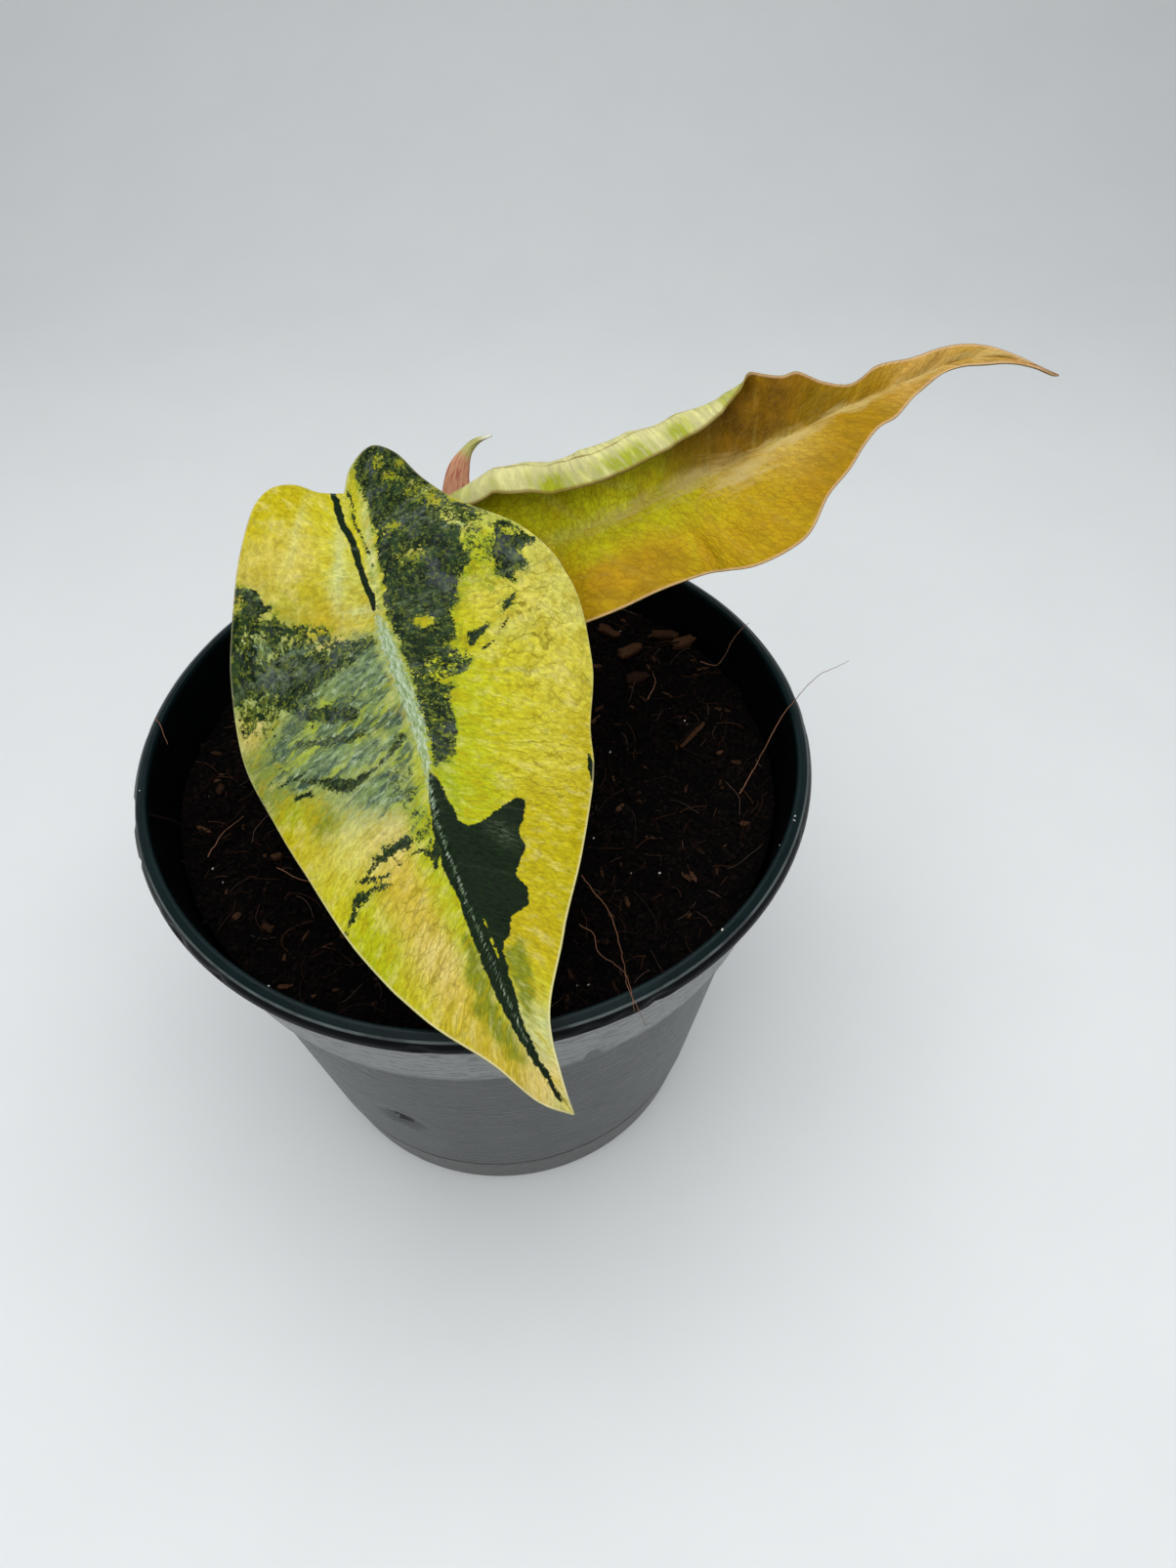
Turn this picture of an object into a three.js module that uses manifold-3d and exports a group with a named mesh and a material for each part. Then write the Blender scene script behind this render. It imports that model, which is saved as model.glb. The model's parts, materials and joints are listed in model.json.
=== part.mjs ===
// A young variegated alocasia in a 12 cm nursery pot: two peltate leaves on their stalks, a papery
// sheath leaf, the stem base they rise from, the potting mix and the pot.
// Millimetres, +Z up. The origin is the centre of the pot's underside, and -Y is the plant's front.
import * as THREE from "three";
import { mergeVertices } from "three/addons/utils/BufferGeometryUtils.js";
import Module from "manifold-3d";

const wasm = await Module();
wasm.setup();

// Clearance between pieces that touch on the real plant.
const GAP = 0.3;

// The pot: radii and heights of its turned wall.
const POT = {
  height: 98,
  lipRadius: 60,
  lipTopOuter: 58.7,
  lipTopInner: 56.4,
  lipEdgeHeight: 95.4,
  lipUndersideHeight: 94.2,
  creaseRadius: 55,
  creaseHeight: 94.5,
  collarTopRadius: 56.6,
  collarBottomRadius: 54.2,
  collarBottomHeight: 75,
  bodyTopRadius: 52.6,
  ringTopRadius: 44.2,
  ringTopHeight: 13.5,
  ringStep: 0.5,
  baseRadius: 41.8,
  baseRounding: 0.9,
  edgeRounding: 0.5,
  wall: 1.1,
  floor: 1.4,
  segments: 48,
};
const DRAIN = { count: 6, radius: 3.5, ringRadius: 30, segments: 12 };

// The potting mix: its level under the rim, its lumps, and the chips and crumbs in its surface.
const SOIL = {
  level: 86.5,
  edgeRadius: 53.5,
  stepRise: 1.6,
  lump: 0.7,
  segments: 32,
  ringStep: 6,
  chips: 18,
  crumbs: 36,
  scatterRadius: 49,
  clearRadius: 13,
  pieceSize: { chip: [3, 7], crumb: [2.6, 4.4] },
  chipWidth: 2.4,
  chipDepth: 2,
  crumbStretch: 1.3,
  tilt: 0.5,
  seed: 41,
};

// The stem base, turned about its own upright axis.
const CORM = {
  x: 0.8,
  y: 8,
  profile: [[0, 68], [4.6, 69], [7.2, 75], [8.2, 82], [7.9, 86], [6.4, 88.8], [3.2, 90.2], [0, 90.6]],
  segments: 24,
};

// The front blade hangs forwards and down over the rim. Every blade is measured in its own
// coordinates: v along the midrib from the stalk, positive towards the tip, and u across it.
// A margin point is [u, v, s], where s is the place on the midrib that its side vein leaves from.
const FRONT_LEAF = {
  thickness: 0.8,
  midrib: [
    [-21.6, 30, 139.6],
    [-15.5, 7, 135.5],
    [-12.5, -2, 130],
    [-6.1, -17.4, 122.5],
    [-1.9, -30.4, 116],
    [5.9, -49.7, 107],
    [13.6, -65.6, 100],
    [17.4, -70.4, 97],
  ],
  stalkIndex: 2,
  rightArcRadius: 62,
  leftArcRadius: 75,
  rightMargin: [
    [0, -22.3, -22.3],
    [2, -28.3, -21.3],
    [6, -32.6, -19],
    [9.5, -31, -16],
    [13, -24.5, -12],
    [18, -18, -8],
    [25.5, -11, -4],
    [31.5, -2, 0],
    [33.2, 6.5, 3.5],
    [30.6, 16.5, 8.5],
    [26.4, 25, 15],
    [24.4, 34, 24],
    [18.5, 45.7, 36],
    [10, 58.3, 50],
    [4.5, 67, 61],
    [1.8, 76, 72.5],
    [0, 82, 82],
  ],
  leftMargin: [
    [0, -22.3, -22.3],
    [-4, -23.8, -20],
    [-7.5, -26.7, -18],
    [-11, -27.3, -15.5],
    [-14, -25.3, -12.5],
    [-17.4, -18.4, -9],
    [-21.8, -8.8, -5],
    [-25.7, 0.8, -1],
    [-28, 12, 4],
    [-27.2, 22.5, 12],
    [-23, 35, 24],
    [-18.5, 49, 37],
    [-12.5, 61.5, 51],
    [-6, 70.5, 62],
    [-2.9, 78, 73],
    [0, 82, 82],
  ],
  rows: 34,
  rightColumns: 9,
  leftColumns: 8,
  veinSpacing: 10.5,
  veinRelief: 0.45,
  ridgeHeight: 1,
  ridgeHalfWidth: 1.7,
};

// The back blade is young: its lower half hangs towards the front, its upper half stands up and
// rolls over inwards along the margin, from rollStart across the blade.
const BACK_LEAF = {
  thickness: 0.8,
  midrib: [
    [-2.8, 26.4, 113],
    [14.8, 26.3, 121],
    [22.4, 25.4, 125],
    [37.5, 30.1, 130.5],
    [50.6, 32.1, 135],
    [63.8, 37.1, 139],
    [77.2, 42.1, 142],
    [88.5, 45.7, 143.5],
    [95.4, 45.6, 143],
    [103.3, 44.5, 140.5],
  ],
  stalkIndex: 1,
  lowerDroop: THREE.MathUtils.degToRad(15),
  lowerArcRadius: 50,
  upperRise: THREE.MathUtils.degToRad(50),
  upperArcRadius: 60,
  rollRadius: 3.2,
  rollTurn: 2.6,
  rollEnds: [38, 43],
  rollStart: [[-16, 10.5], [-5, 12.5], [5, 9.7], [15, 9.5], [25, 7.6], [35, 7.5], [43, 9.5], [96, 9.5]],
  rightMargin: [
    [0, -9, -9],
    [4, -14.5, -8],
    [8.5, -17, -6.5],
    [13, -14.5, -5],
    [17, -7, -3],
    [18.6, 0, -1],
    [17.5, 6, 1.5],
    [16, 12, 5],
    [16.8, 19, 10],
    [18.6, 27, 16.5],
    [19.6, 33, 22],
    [18, 39.5, 29],
    [13, 45, 36],
    [10.5, 50.5, 43],
    [6.2, 58.5, 52],
    [5.6, 62.5, 57],
    [3, 68, 64],
    [1.4, 73.5, 70.5],
    [1.6, 80, 78],
    [1, 88.5, 87.3],
    [0, 96, 96],
  ],
  leftMargin: [
    [0, -9, -9],
    [-6, -15, -8],
    [-12, -17, -6.8],
    [-18.5, -14.5, -5.5],
    [-22, -9, -3.8],
    [-22.8, -4, -2],
    [-21.8, 2, 0.5],
    [-21.5, 10, 5],
    [-21.5, 15, 9.5],
    [-20, 20, 14.5],
    [-18.3, 26, 20.5],
    [-17.8, 31, 25.5],
    [-16, 35.5, 30],
    [-15, 39, 33.5],
    [-12.6, 42.5, 37],
    [-9.5, 47.5, 42],
    [-9, 50, 45],
    [-5.5, 53.5, 49],
    [-3.2, 58, 54],
    [-4.2, 63, 59],
    [-3.3, 69, 65],
    [-3, 75, 71.5],
    [-2, 82, 79.5],
    [-0.7, 88.5, 87],
    [0, 96, 96],
  ],
  rows: 36,
  rightColumns: 8,
  leftColumns: 14,
  veinSpacing: 8,
  veinRelief: 0.35,
  ridgeHeight: 0.9,
  ridgeHalfWidth: 1.5,
};

// The stalks, from their foot in the stem base. The last stretch is worked out from the blade.
const FRONT_PETIOLE = {
  route: [[-1.9, 6.4, 82], [-4.2, 4.6, 96], [-8.2, 2.2, 113]],
  footRadius: 2.1,
  topRadius: 1.6,
};
const BACK_PETIOLE = {
  route: [[2.9, 6.8, 82], [6.4, 13.2, 94.5], [11.4, 23.4, 107]],
  footRadius: 2,
  topRadius: 1.5,
};
const PETIOLE = { neck: 5, sides: 10, steps: 14 };

// The sheath leaf: a narrow papery blade that leans back and hooks over at its tip.
const CATAPHYLL = {
  route: [
    [0.6, 11.4, 83],
    [-0.6, 22, 99],
    [-3, 36, 117.5],
    [-2.6, 40.8, 124],
    [0.2, 43.2, 127.6],
    [3.6, 43.6, 129],
  ],
  footWidth: 5.2,
  footDepth: 2.4,
  tipWidth: 0.9,
  tipDepth: 0.7,
  sides: 8,
  steps: 16,
};

// A repeatable random number between 0 and 1 (a linear congruential series).
function seededRandom(seed) {
  let state = seed;
  return () => {
    state = (state * 16807) % 2147483647;
    return state / 2147483647;
  };
}

// A closed geometry as a solid for joining and cutting, and back.
function toSolid(geometry) {
  const bare = new THREE.BufferGeometry().setAttribute("position", geometry.getAttribute("position"));
  if (geometry.index) bare.setIndex(geometry.index);
  const merged = mergeVertices(bare, 1e-4);
  return new wasm.Manifold(
    new wasm.Mesh({
      numProp: 3,
      vertProperties: new Float32Array(merged.getAttribute("position").array),
      triVerts: new Uint32Array(merged.index.array),
    }),
  );
}

function toGeometry(solid) {
  const mesh = solid.getMesh();
  return new THREE.BufferGeometry()
    .setAttribute("position", new THREE.BufferAttribute(mesh.vertProperties, 3))
    .setIndex(new THREE.BufferAttribute(mesh.triVerts, 1));
}

// The largest body of a solid, which drops the scraps that a cut leaves loose.
function largestBody(solid) {
  return solid.decompose().reduce((best, body) => (body.volume() > best.volume() ? body : best));
}

// A solid turned about the upright axis, from its profile of [radius, height] pairs.
function turned(profile, segments) {
  const points = profile.map(([radius, height]) => new THREE.Vector2(radius, height));
  return new THREE.LatheGeometry(points, segments).rotateX(Math.PI / 2);
}

// A value read from [place, value] pairs, straight between them.
function readTable(pairs, place) {
  if (place <= pairs[0][0]) return pairs[0][1];
  for (let i = 1; i < pairs.length; i++) {
    const [x0, y0] = pairs[i - 1];
    const [x1, y1] = pairs[i];
    if (place <= x1) return THREE.MathUtils.mapLinear(place, x0, x1, y0, y1);
  }
  return pairs.at(-1)[1];
}

// The midrib as a smooth curve, read by its length v from the stalk.
function midribCurve({ midrib, stalkIndex }) {
  const points = midrib.map((p) => new THREE.Vector3(...p));
  const curve = new THREE.CatmullRomCurve3(points, false, "chordal");
  const lengths = [0];
  for (let i = 1; i < points.length; i++) {
    lengths.push(lengths[i - 1] + points[i].distanceTo(points[i - 1]));
  }
  const stations = lengths.map((length, i) => [length - lengths[stalkIndex], i / (points.length - 1)]);
  return (v) => {
    const t = readTable(stations, v);
    return { point: curve.getPoint(t), tangent: curve.getTangent(t) };
  };
}

// The front blade's middle surface: each half droops from the midrib on an arc.
function frontSurface(leaf) {
  const midribAt = midribCurve(leaf);
  return (u, v) => {
    const { point, tangent } = midribAt(v);
    const side = new THREE.Vector3(1, 0, 0).addScaledVector(tangent, -tangent.x).normalize();
    const up = new THREE.Vector3().crossVectors(tangent, side);
    const radius = u > 0 ? leaf.rightArcRadius : leaf.leftArcRadius;
    return point
      .addScaledVector(side, radius * Math.sin(u / radius))
      .addScaledVector(up, -radius * (1 - Math.cos(u / radius)));
  };
}

// The back blade's middle surface: the slope across it is summed from the midrib outwards.
function backSurface(leaf) {
  const midribAt = midribCurve(leaf);
  const upright = new THREE.Vector3(0, 0, 1);
  const steps = 32;
  return (u, v) => {
    const { point, tangent } = midribAt(v);
    const front = new THREE.Vector3().crossVectors(tangent, upright).normalize();
    const up = new THREE.Vector3().crossVectors(front, tangent);
    const start = readTable(leaf.rollStart, v);
    const turn = leaf.rollTurn * (1 - THREE.MathUtils.smoothstep(v, ...leaf.rollEnds));
    const across = Math.abs(u) / steps;
    for (let i = 0; i < steps; i++) {
      const along = (i + 0.5) * across;
      if (u > 0) {
        const slope = leaf.lowerDroop + along / leaf.lowerArcRadius;
        point.addScaledVector(front, across * Math.cos(slope));
        point.addScaledVector(up, -across * Math.sin(slope));
      } else {
        const roll = THREE.MathUtils.clamp((along - start) / leaf.rollRadius, 0, turn);
        const slope = leaf.upperRise + along / leaf.upperArcRadius + roll;
        point.addScaledVector(front, -across * Math.cos(slope));
        point.addScaledVector(up, across * Math.sin(slope));
      }
    }
    return point;
  };
}

// The unit normal of a surface at (u, v), from short steps to either side of it.
function surfaceNormal(surface, u, v) {
  const step = 0.2;
  const across = surface(u + step, v).sub(surface(u - step, v));
  const along = surface(u, v + step).sub(surface(u, v - step));
  return across.cross(along).normalize();
}

// 1 where that normal lies on the blade's upper face, -1 where it lies on the underside.
function upperSign(surface) {
  return Math.sign(surfaceNormal(surface, 0, 0).z);
}

// A margin as a smooth curve read by s, the place on the midrib that its side vein leaves from.
function marginCurve(margin) {
  const samplesPerPoint = 12;
  const points = margin.map(([u, v, s]) => new THREE.Vector3(u, v, s));
  const curve = new THREE.CatmullRomCurve3(points, false, "centripetal");
  const samples = curve.getPoints(points.length * samplesPerPoint);
  return (s) => {
    const i = samples.findIndex((p) => p.z >= s);
    if (i <= 0) return samples.at(i).clone();
    const mix = (s - samples[i - 1].z) / (samples[i].z - samples[i - 1].z);
    return samples[i - 1].clone().lerp(samples[i], mix);
  };
}

// Places along the midrib, closer together where the margin runs far for a short stretch of it.
function rowStations(leaf, left, right) {
  const from = leaf.rightMargin[0][2];
  const to = leaf.rightMargin.at(-1)[2];
  const steps = 400;
  const walked = [[0, from]];
  let length = 0;
  for (let i = 1; i <= steps; i++) {
    const s0 = THREE.MathUtils.lerp(from, to, (i - 1) / steps);
    const s1 = THREE.MathUtils.lerp(from, to, i / steps);
    for (const margin of [left, right]) {
      const a = margin(s0);
      const b = margin(s1);
      length += Math.hypot(b.x - a.x, b.y - a.y);
    }
    walked.push([length, s1]);
  }
  return Array.from({ length: leaf.rows + 1 }, (_, i) => readTable(walked, (length * i) / leaf.rows));
}

// A blade: a grid of side veins by steps across them, an upper and a lower face split alike,
// and a narrow edge between them. Both end rows shrink to a point, at the notch and at the tip.
function bladeGeometry(leaf, surface) {
  const left = marginCurve(leaf.leftMargin);
  const right = marginCurve(leaf.rightMargin);
  const stations = rowStations(leaf, left, right);
  const columns = leaf.leftColumns + leaf.rightColumns + 1;
  const upward = upperSign(surface);
  const tip = leaf.rightMargin.at(-1)[1];
  const positions = [];

  const vertexPair = (s, column) => {
    const half = column < leaf.leftColumns ? left : right;
    const count = column < leaf.leftColumns ? leaf.leftColumns : leaf.rightColumns;
    const share = Math.abs(column - leaf.leftColumns) / count;
    const margin = half(s);
    const u = margin.x * share;
    const v = THREE.MathUtils.lerp(s, margin.y, share);
    const normal = surfaceNormal(surface, u, v).multiplyScalar(upward);
    const wave = 0.5 - 0.5 * Math.cos((2 * Math.PI * s) / leaf.veinSpacing);
    const relief = leaf.veinRelief * wave * Math.sin(Math.PI * share);
    const taper = THREE.MathUtils.clamp(1 - v / tip, 0, 1);
    const ridge = leaf.ridgeHeight * taper * Math.exp(-((u / leaf.ridgeHalfWidth) ** 2));
    const middle = surface(u, v).addScaledVector(normal, relief);
    const upper = middle.clone().addScaledVector(normal, leaf.thickness / 2);
    const lower = middle.addScaledVector(normal, -leaf.thickness / 2 - ridge);
    return [upper, lower];
  };

  const upperIndex = [];
  stations.forEach((s, row) => {
    const pointRow = row === 0 || row === leaf.rows;
    upperIndex.push([]);
    for (let column = 0; column < columns; column++) {
      if (pointRow && column > 0) {
        upperIndex[row].push(upperIndex[row][0]);
        continue;
      }
      const [upper, lower] = vertexPair(s, pointRow ? leaf.leftColumns : column);
      upperIndex[row].push(positions.length / 3);
      positions.push(...upper.toArray(), ...lower.toArray());
    }
  });

  // Each upper vertex is followed by its lower one.
  const index = [];
  const addFace = (a, b, c) => {
    if (a === b || b === c || c === a) return;
    index.push(a, b, c);
  };
  const addEdge = (a, b) => {
    if (a === b) return;
    index.push(a, b, b + 1, a, b + 1, a + 1);
  };
  for (let row = 0; row < leaf.rows; row++) {
    for (let column = 0; column < columns - 1; column++) {
      const a = upperIndex[row][column];
      const b = upperIndex[row][column + 1];
      const c = upperIndex[row + 1][column + 1];
      const d = upperIndex[row + 1][column];
      addFace(a, b, c);
      addFace(a, c, d);
      addFace(a + 1, c + 1, b + 1);
      addFace(a + 1, d + 1, c + 1);
    }
    addEdge(upperIndex[row][0], upperIndex[row + 1][0]);
    addEdge(upperIndex[row + 1][columns - 1], upperIndex[row][columns - 1]);
  }
  return outward(positions, index);
}

// A geometry whose faces all point outwards, whichever way round they were listed.
function outward(positions, index) {
  const corner = (i) => new THREE.Vector3().fromArray(positions, 3 * index[i]);
  let volume = 0;
  for (let i = 0; i < index.length; i += 3) {
    volume += corner(i).dot(corner(i + 1).cross(corner(i + 2)));
  }
  if (volume < 0) index.reverse();
  return new THREE.BufferGeometry()
    .setAttribute("position", new THREE.Float32BufferAttribute(positions, 3))
    .setIndex(index);
}

// A stalk along a curve: oval rings of the given half width and half depth, closed at both ends.
function stalkGeometry(route, halfWidth, halfDepth, sides, steps) {
  const curve = new THREE.CatmullRomCurve3(route, false, "centripetal");
  const positions = [];
  const index = [];
  for (let step = 0; step <= steps; step++) {
    const t = step / steps;
    const point = curve.getPointAt(t);
    const tangent = curve.getTangentAt(t);
    const side = new THREE.Vector3(1, 0, 0).addScaledVector(tangent, -tangent.x).normalize();
    const up = new THREE.Vector3().crossVectors(tangent, side);
    for (let k = 0; k < sides; k++) {
      const angle = (2 * Math.PI * k) / sides;
      const vertex = point
        .clone()
        .addScaledVector(side, halfWidth(t) * Math.cos(angle))
        .addScaledVector(up, halfDepth(t) * Math.sin(angle));
      positions.push(...vertex.toArray());
    }
  }
  for (let step = 0; step < steps; step++) {
    for (let k = 0; k < sides; k++) {
      const a = step * sides + k;
      const b = step * sides + ((k + 1) % sides);
      index.push(a, b, b + sides, a, b + sides, a + sides);
    }
  }
  const last = steps * sides;
  for (let k = 1; k < sides - 1; k++) {
    index.push(0, k + 1, k);
    index.push(last, last + k, last + k + 1);
  }
  return outward(positions, index);
}

// The route of a stalk, with a neck that meets the blade square on its underside.
function petioleRoute(stalk, leaf, surface) {
  const normal = surfaceNormal(surface, 0, 0).multiplyScalar(upperSign(surface));
  const seat = leaf.thickness / 2 + leaf.ridgeHeight + GAP;
  const joint = surface(0, 0);
  return [
    ...stalk.route.map((p) => new THREE.Vector3(...p)),
    joint.clone().addScaledVector(normal, -PETIOLE.neck),
    joint.clone().addScaledVector(normal, -seat),
  ];
}

function petioleGeometry(stalk, route, clearance) {
  const radius = (t) => THREE.MathUtils.lerp(stalk.footRadius, stalk.topRadius, t) + clearance;
  return stalkGeometry(route, radius, radius, PETIOLE.sides, PETIOLE.steps);
}

function cataphyllGeometry(clearance) {
  const { footWidth, footDepth, tipWidth, tipDepth } = CATAPHYLL;
  const route = CATAPHYLL.route.map((p) => new THREE.Vector3(...p));
  const width = (t) => THREE.MathUtils.lerp(footWidth, tipWidth, t ** 1.5) / 2 + clearance;
  const depth = (t) => THREE.MathUtils.lerp(footDepth, tipDepth, Math.sqrt(t)) / 2 + clearance;
  return stalkGeometry(route, width, depth, CATAPHYLL.sides, CATAPHYLL.steps);
}

// The pot's wall, from the middle of its underside round the lip to the middle of its floor.
function potGeometry() {
  const p = POT;
  const round = p.edgeRounding;
  const profile = [
    [0, 0],
    [p.baseRadius - p.baseRounding, 0],
    [p.baseRadius, p.baseRounding],
    [p.ringTopRadius - p.ringStep, p.ringTopHeight - p.ringStep],
    [p.ringTopRadius, p.ringTopHeight],
    [p.bodyTopRadius, p.collarBottomHeight - round],
    [p.collarBottomRadius - round, p.collarBottomHeight - round],
    [p.collarBottomRadius, p.collarBottomHeight],
    [p.collarTopRadius, p.lipUndersideHeight],
    [p.lipRadius - round, p.lipUndersideHeight + round / 2],
    [p.lipRadius, p.lipEdgeHeight],
    [p.lipRadius - round, (p.lipEdgeHeight + p.height) / 2],
    [p.lipTopOuter, p.height - round / 2],
    [(p.lipTopOuter + p.lipTopInner) / 2, p.height],
    [p.lipTopInner, p.height - round / 2],
    [p.creaseRadius, p.creaseHeight],
    [p.collarBottomRadius - p.wall, p.collarBottomHeight + round],
    [p.bodyTopRadius - p.wall, p.collarBottomHeight - round],
    [p.ringTopRadius - p.wall, p.ringTopHeight],
    [p.baseRadius - p.wall, p.floor + p.baseRounding],
    [p.baseRadius - p.wall - p.baseRounding, p.floor],
    [0, p.floor],
  ];
  let solid = toSolid(turned(profile, p.segments));
  const holeLength = 6 * p.floor;
  for (let i = 0; i < DRAIN.count; i++) {
    const angle = (2 * Math.PI * (i + 0.5)) / DRAIN.count;
    const hole = new THREE.CylinderGeometry(DRAIN.radius, DRAIN.radius, holeLength, DRAIN.segments)
      .rotateX(Math.PI / 2)
      .translate(DRAIN.ringRadius * Math.cos(angle), DRAIN.ringRadius * Math.sin(angle), 0);
    solid = solid.subtract(toSolid(hole));
  }
  return toGeometry(solid);
}

// Low lumps of the potting mix, which fade out at its edge.
function soilLump(x, y) {
  const distance = Math.hypot(x, y);
  const fade = 1 - THREE.MathUtils.smoothstep(distance, SOIL.edgeRadius - SOIL.ringStep, SOIL.edgeRadius);
  const broad = Math.sin(0.13 * x + 1.1) * Math.cos(0.17 * y - 0.4);
  const fine = Math.sin(0.41 * x - 0.3 * y) + Math.cos(0.37 * y + 0.21 * x);
  return SOIL.lump * fade * (broad + 0.5 * fine);
}

// The body of the mix, a gap inside the pot's wall, with its top raised into lumps.
function soilBody() {
  const p = POT;
  const inset = p.wall + GAP;
  const corner = p.baseRounding;
  const profile = [
    [0, p.floor + GAP],
    [p.baseRadius - inset - corner, p.floor + GAP],
    [p.baseRadius - inset, p.floor + GAP + corner],
    [p.ringTopRadius - inset, p.ringTopHeight],
    [p.bodyTopRadius - inset - GAP, p.collarBottomHeight - p.edgeRounding],
    [p.collarBottomRadius - inset - GAP, p.collarBottomHeight + SOIL.stepRise],
    [SOIL.edgeRadius, SOIL.level],
  ];
  for (let radius = SOIL.edgeRadius - SOIL.ringStep / 2; radius > 1; radius -= SOIL.ringStep) {
    profile.push([radius, SOIL.level]);
  }
  profile.push([0, SOIL.level]);
  const body = turned(profile, SOIL.segments);
  const position = body.getAttribute("position");
  for (let i = 0; i < position.count; i++) {
    if (position.getZ(i) < SOIL.level - 0.01) continue;
    position.setZ(i, SOIL.level + soilLump(position.getX(i), position.getY(i)));
  }
  return body;
}

// A flat bark chip or a rounder crumb, of a random size within the limits for its kind.
function soilPiece(kind, random) {
  const [least, most] = SOIL.pieceSize[kind];
  const size = THREE.MathUtils.lerp(least, most, random());
  if (kind === "chip") return new THREE.BoxGeometry(size, SOIL.chipWidth, SOIL.chipDepth);
  return new THREE.OctahedronGeometry(size / 2).scale(SOIL.crumbStretch, 1, 1);
}

// The potting mix, with chips and crumbs joined to its top and a plain hole for the stem base.
function soilGeometry() {
  let solid = toSolid(soilBody());
  const random = seededRandom(SOIL.seed);
  for (let i = 0; i < SOIL.chips + SOIL.crumbs; i++) {
    const radius = THREE.MathUtils.lerp(SOIL.clearRadius, SOIL.scatterRadius, Math.sqrt(random()));
    const angle = 2 * Math.PI * random();
    const x = radius * Math.cos(angle);
    const y = radius * Math.sin(angle);
    const piece = soilPiece(i < SOIL.chips ? "chip" : "crumb", random);
    piece.rotateX(SOIL.tilt * (random() - 0.5));
    piece.rotateZ(Math.PI * random());
    piece.translate(x, y, SOIL.level + soilLump(x, y));
    solid = solid.add(toSolid(piece));
  }
  return toGeometry(largestBody(solid.subtract(toSolid(cormBody(GAP)))));
}

// The stem base before its sockets are cut, made larger all round by the clearance.
function cormBody(clearance) {
  const middle = (CORM.profile[0][1] + CORM.profile.at(-1)[1]) / 2;
  const profile = CORM.profile.map(([radius, height]) => [
    radius > 0 ? radius + clearance : 0,
    height + clearance * Math.sign(height - middle),
  ]);
  return turned(profile, CORM.segments).translate(CORM.x, CORM.y, 0);
}

const material = (color, roughness) => new THREE.MeshStandardMaterial({ color, roughness, metalness: 0 });
const POT_PLASTIC = material(0x171c20, 0.38);
const COIR = material(0x1f120c, 0.95);
const CORM_SKIN = material(0x5b3f2a, 0.85);
const FRONT_BLADE = material(0xb5b43a, 0.4);
const BRONZE_BLADE = material(0xb7862a, 0.42);
const STALK = material(0xa4a45a, 0.45);
const PAPERY_PINK = material(0xcf8a72, 0.6);

const plant = new THREE.Group();
function addPiece(name, geometry, finish) {
  const mesh = new THREE.Mesh(geometry, finish);
  mesh.name = name;
  plant.add(mesh);
}

const frontBladeSurface = frontSurface(FRONT_LEAF);
const backBladeSurface = backSurface(BACK_LEAF);
const frontRoute = petioleRoute(FRONT_PETIOLE, FRONT_LEAF, frontBladeSurface);
const backRoute = petioleRoute(BACK_PETIOLE, BACK_LEAF, backBladeSurface);

const stalkSockets = [
  petioleGeometry(FRONT_PETIOLE, frontRoute, GAP),
  petioleGeometry(BACK_PETIOLE, backRoute, GAP),
  cataphyllGeometry(GAP),
];
const corm = stalkSockets.reduce((solid, socket) => solid.subtract(toSolid(socket)), toSolid(cormBody(0)));

addPiece("pot", potGeometry(), POT_PLASTIC);
addPiece("potting_soil", soilGeometry(), COIR);
addPiece("corm", toGeometry(largestBody(corm)), CORM_SKIN);
addPiece("front_leaf_petiole", petioleGeometry(FRONT_PETIOLE, frontRoute, 0), STALK);
addPiece("front_leaf_blade", bladeGeometry(FRONT_LEAF, frontBladeSurface), FRONT_BLADE);
addPiece("back_leaf_petiole", petioleGeometry(BACK_PETIOLE, backRoute, 0), STALK);
addPiece("back_leaf_blade", bladeGeometry(BACK_LEAF, backBladeSurface), BRONZE_BLADE);
addPiece("cataphyll", cataphyllGeometry(0), PAPERY_PINK);

export default plant;
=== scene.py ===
"""Looks for a young variegated alocasia in its nursery pot: two blades, stalks, mix, pot and studio.

Sizes are millimetres until a mesh is made. +Z is up and -Y is the plant's front.
"""
import json
import logging
import math
from dataclasses import dataclass, field
from enum import Enum
from typing import NamedTuple, Sequence

import bmesh
import bpy
import numpy as np
from mathutils import Matrix, Vector

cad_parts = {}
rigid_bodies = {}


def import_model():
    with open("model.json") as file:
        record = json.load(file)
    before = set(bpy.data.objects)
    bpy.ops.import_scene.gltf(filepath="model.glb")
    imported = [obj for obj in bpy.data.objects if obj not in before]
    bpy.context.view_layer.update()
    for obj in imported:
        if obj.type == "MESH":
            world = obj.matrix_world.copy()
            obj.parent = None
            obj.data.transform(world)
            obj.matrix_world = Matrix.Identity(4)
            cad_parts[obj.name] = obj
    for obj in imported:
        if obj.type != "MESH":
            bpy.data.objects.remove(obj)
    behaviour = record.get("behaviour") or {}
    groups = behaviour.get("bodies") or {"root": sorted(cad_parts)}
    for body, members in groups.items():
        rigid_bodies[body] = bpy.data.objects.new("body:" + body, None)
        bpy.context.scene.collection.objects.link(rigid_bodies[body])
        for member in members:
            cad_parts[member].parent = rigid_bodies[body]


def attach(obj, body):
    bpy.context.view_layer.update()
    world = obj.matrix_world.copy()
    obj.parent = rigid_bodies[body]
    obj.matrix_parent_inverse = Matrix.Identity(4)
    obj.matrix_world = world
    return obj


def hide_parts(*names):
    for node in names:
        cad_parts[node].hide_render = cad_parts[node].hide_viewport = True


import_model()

Array = np.ndarray
Pair = tuple[float, float]
Triple = tuple[float, float, float]
Colour = tuple[float, float, float]
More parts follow.
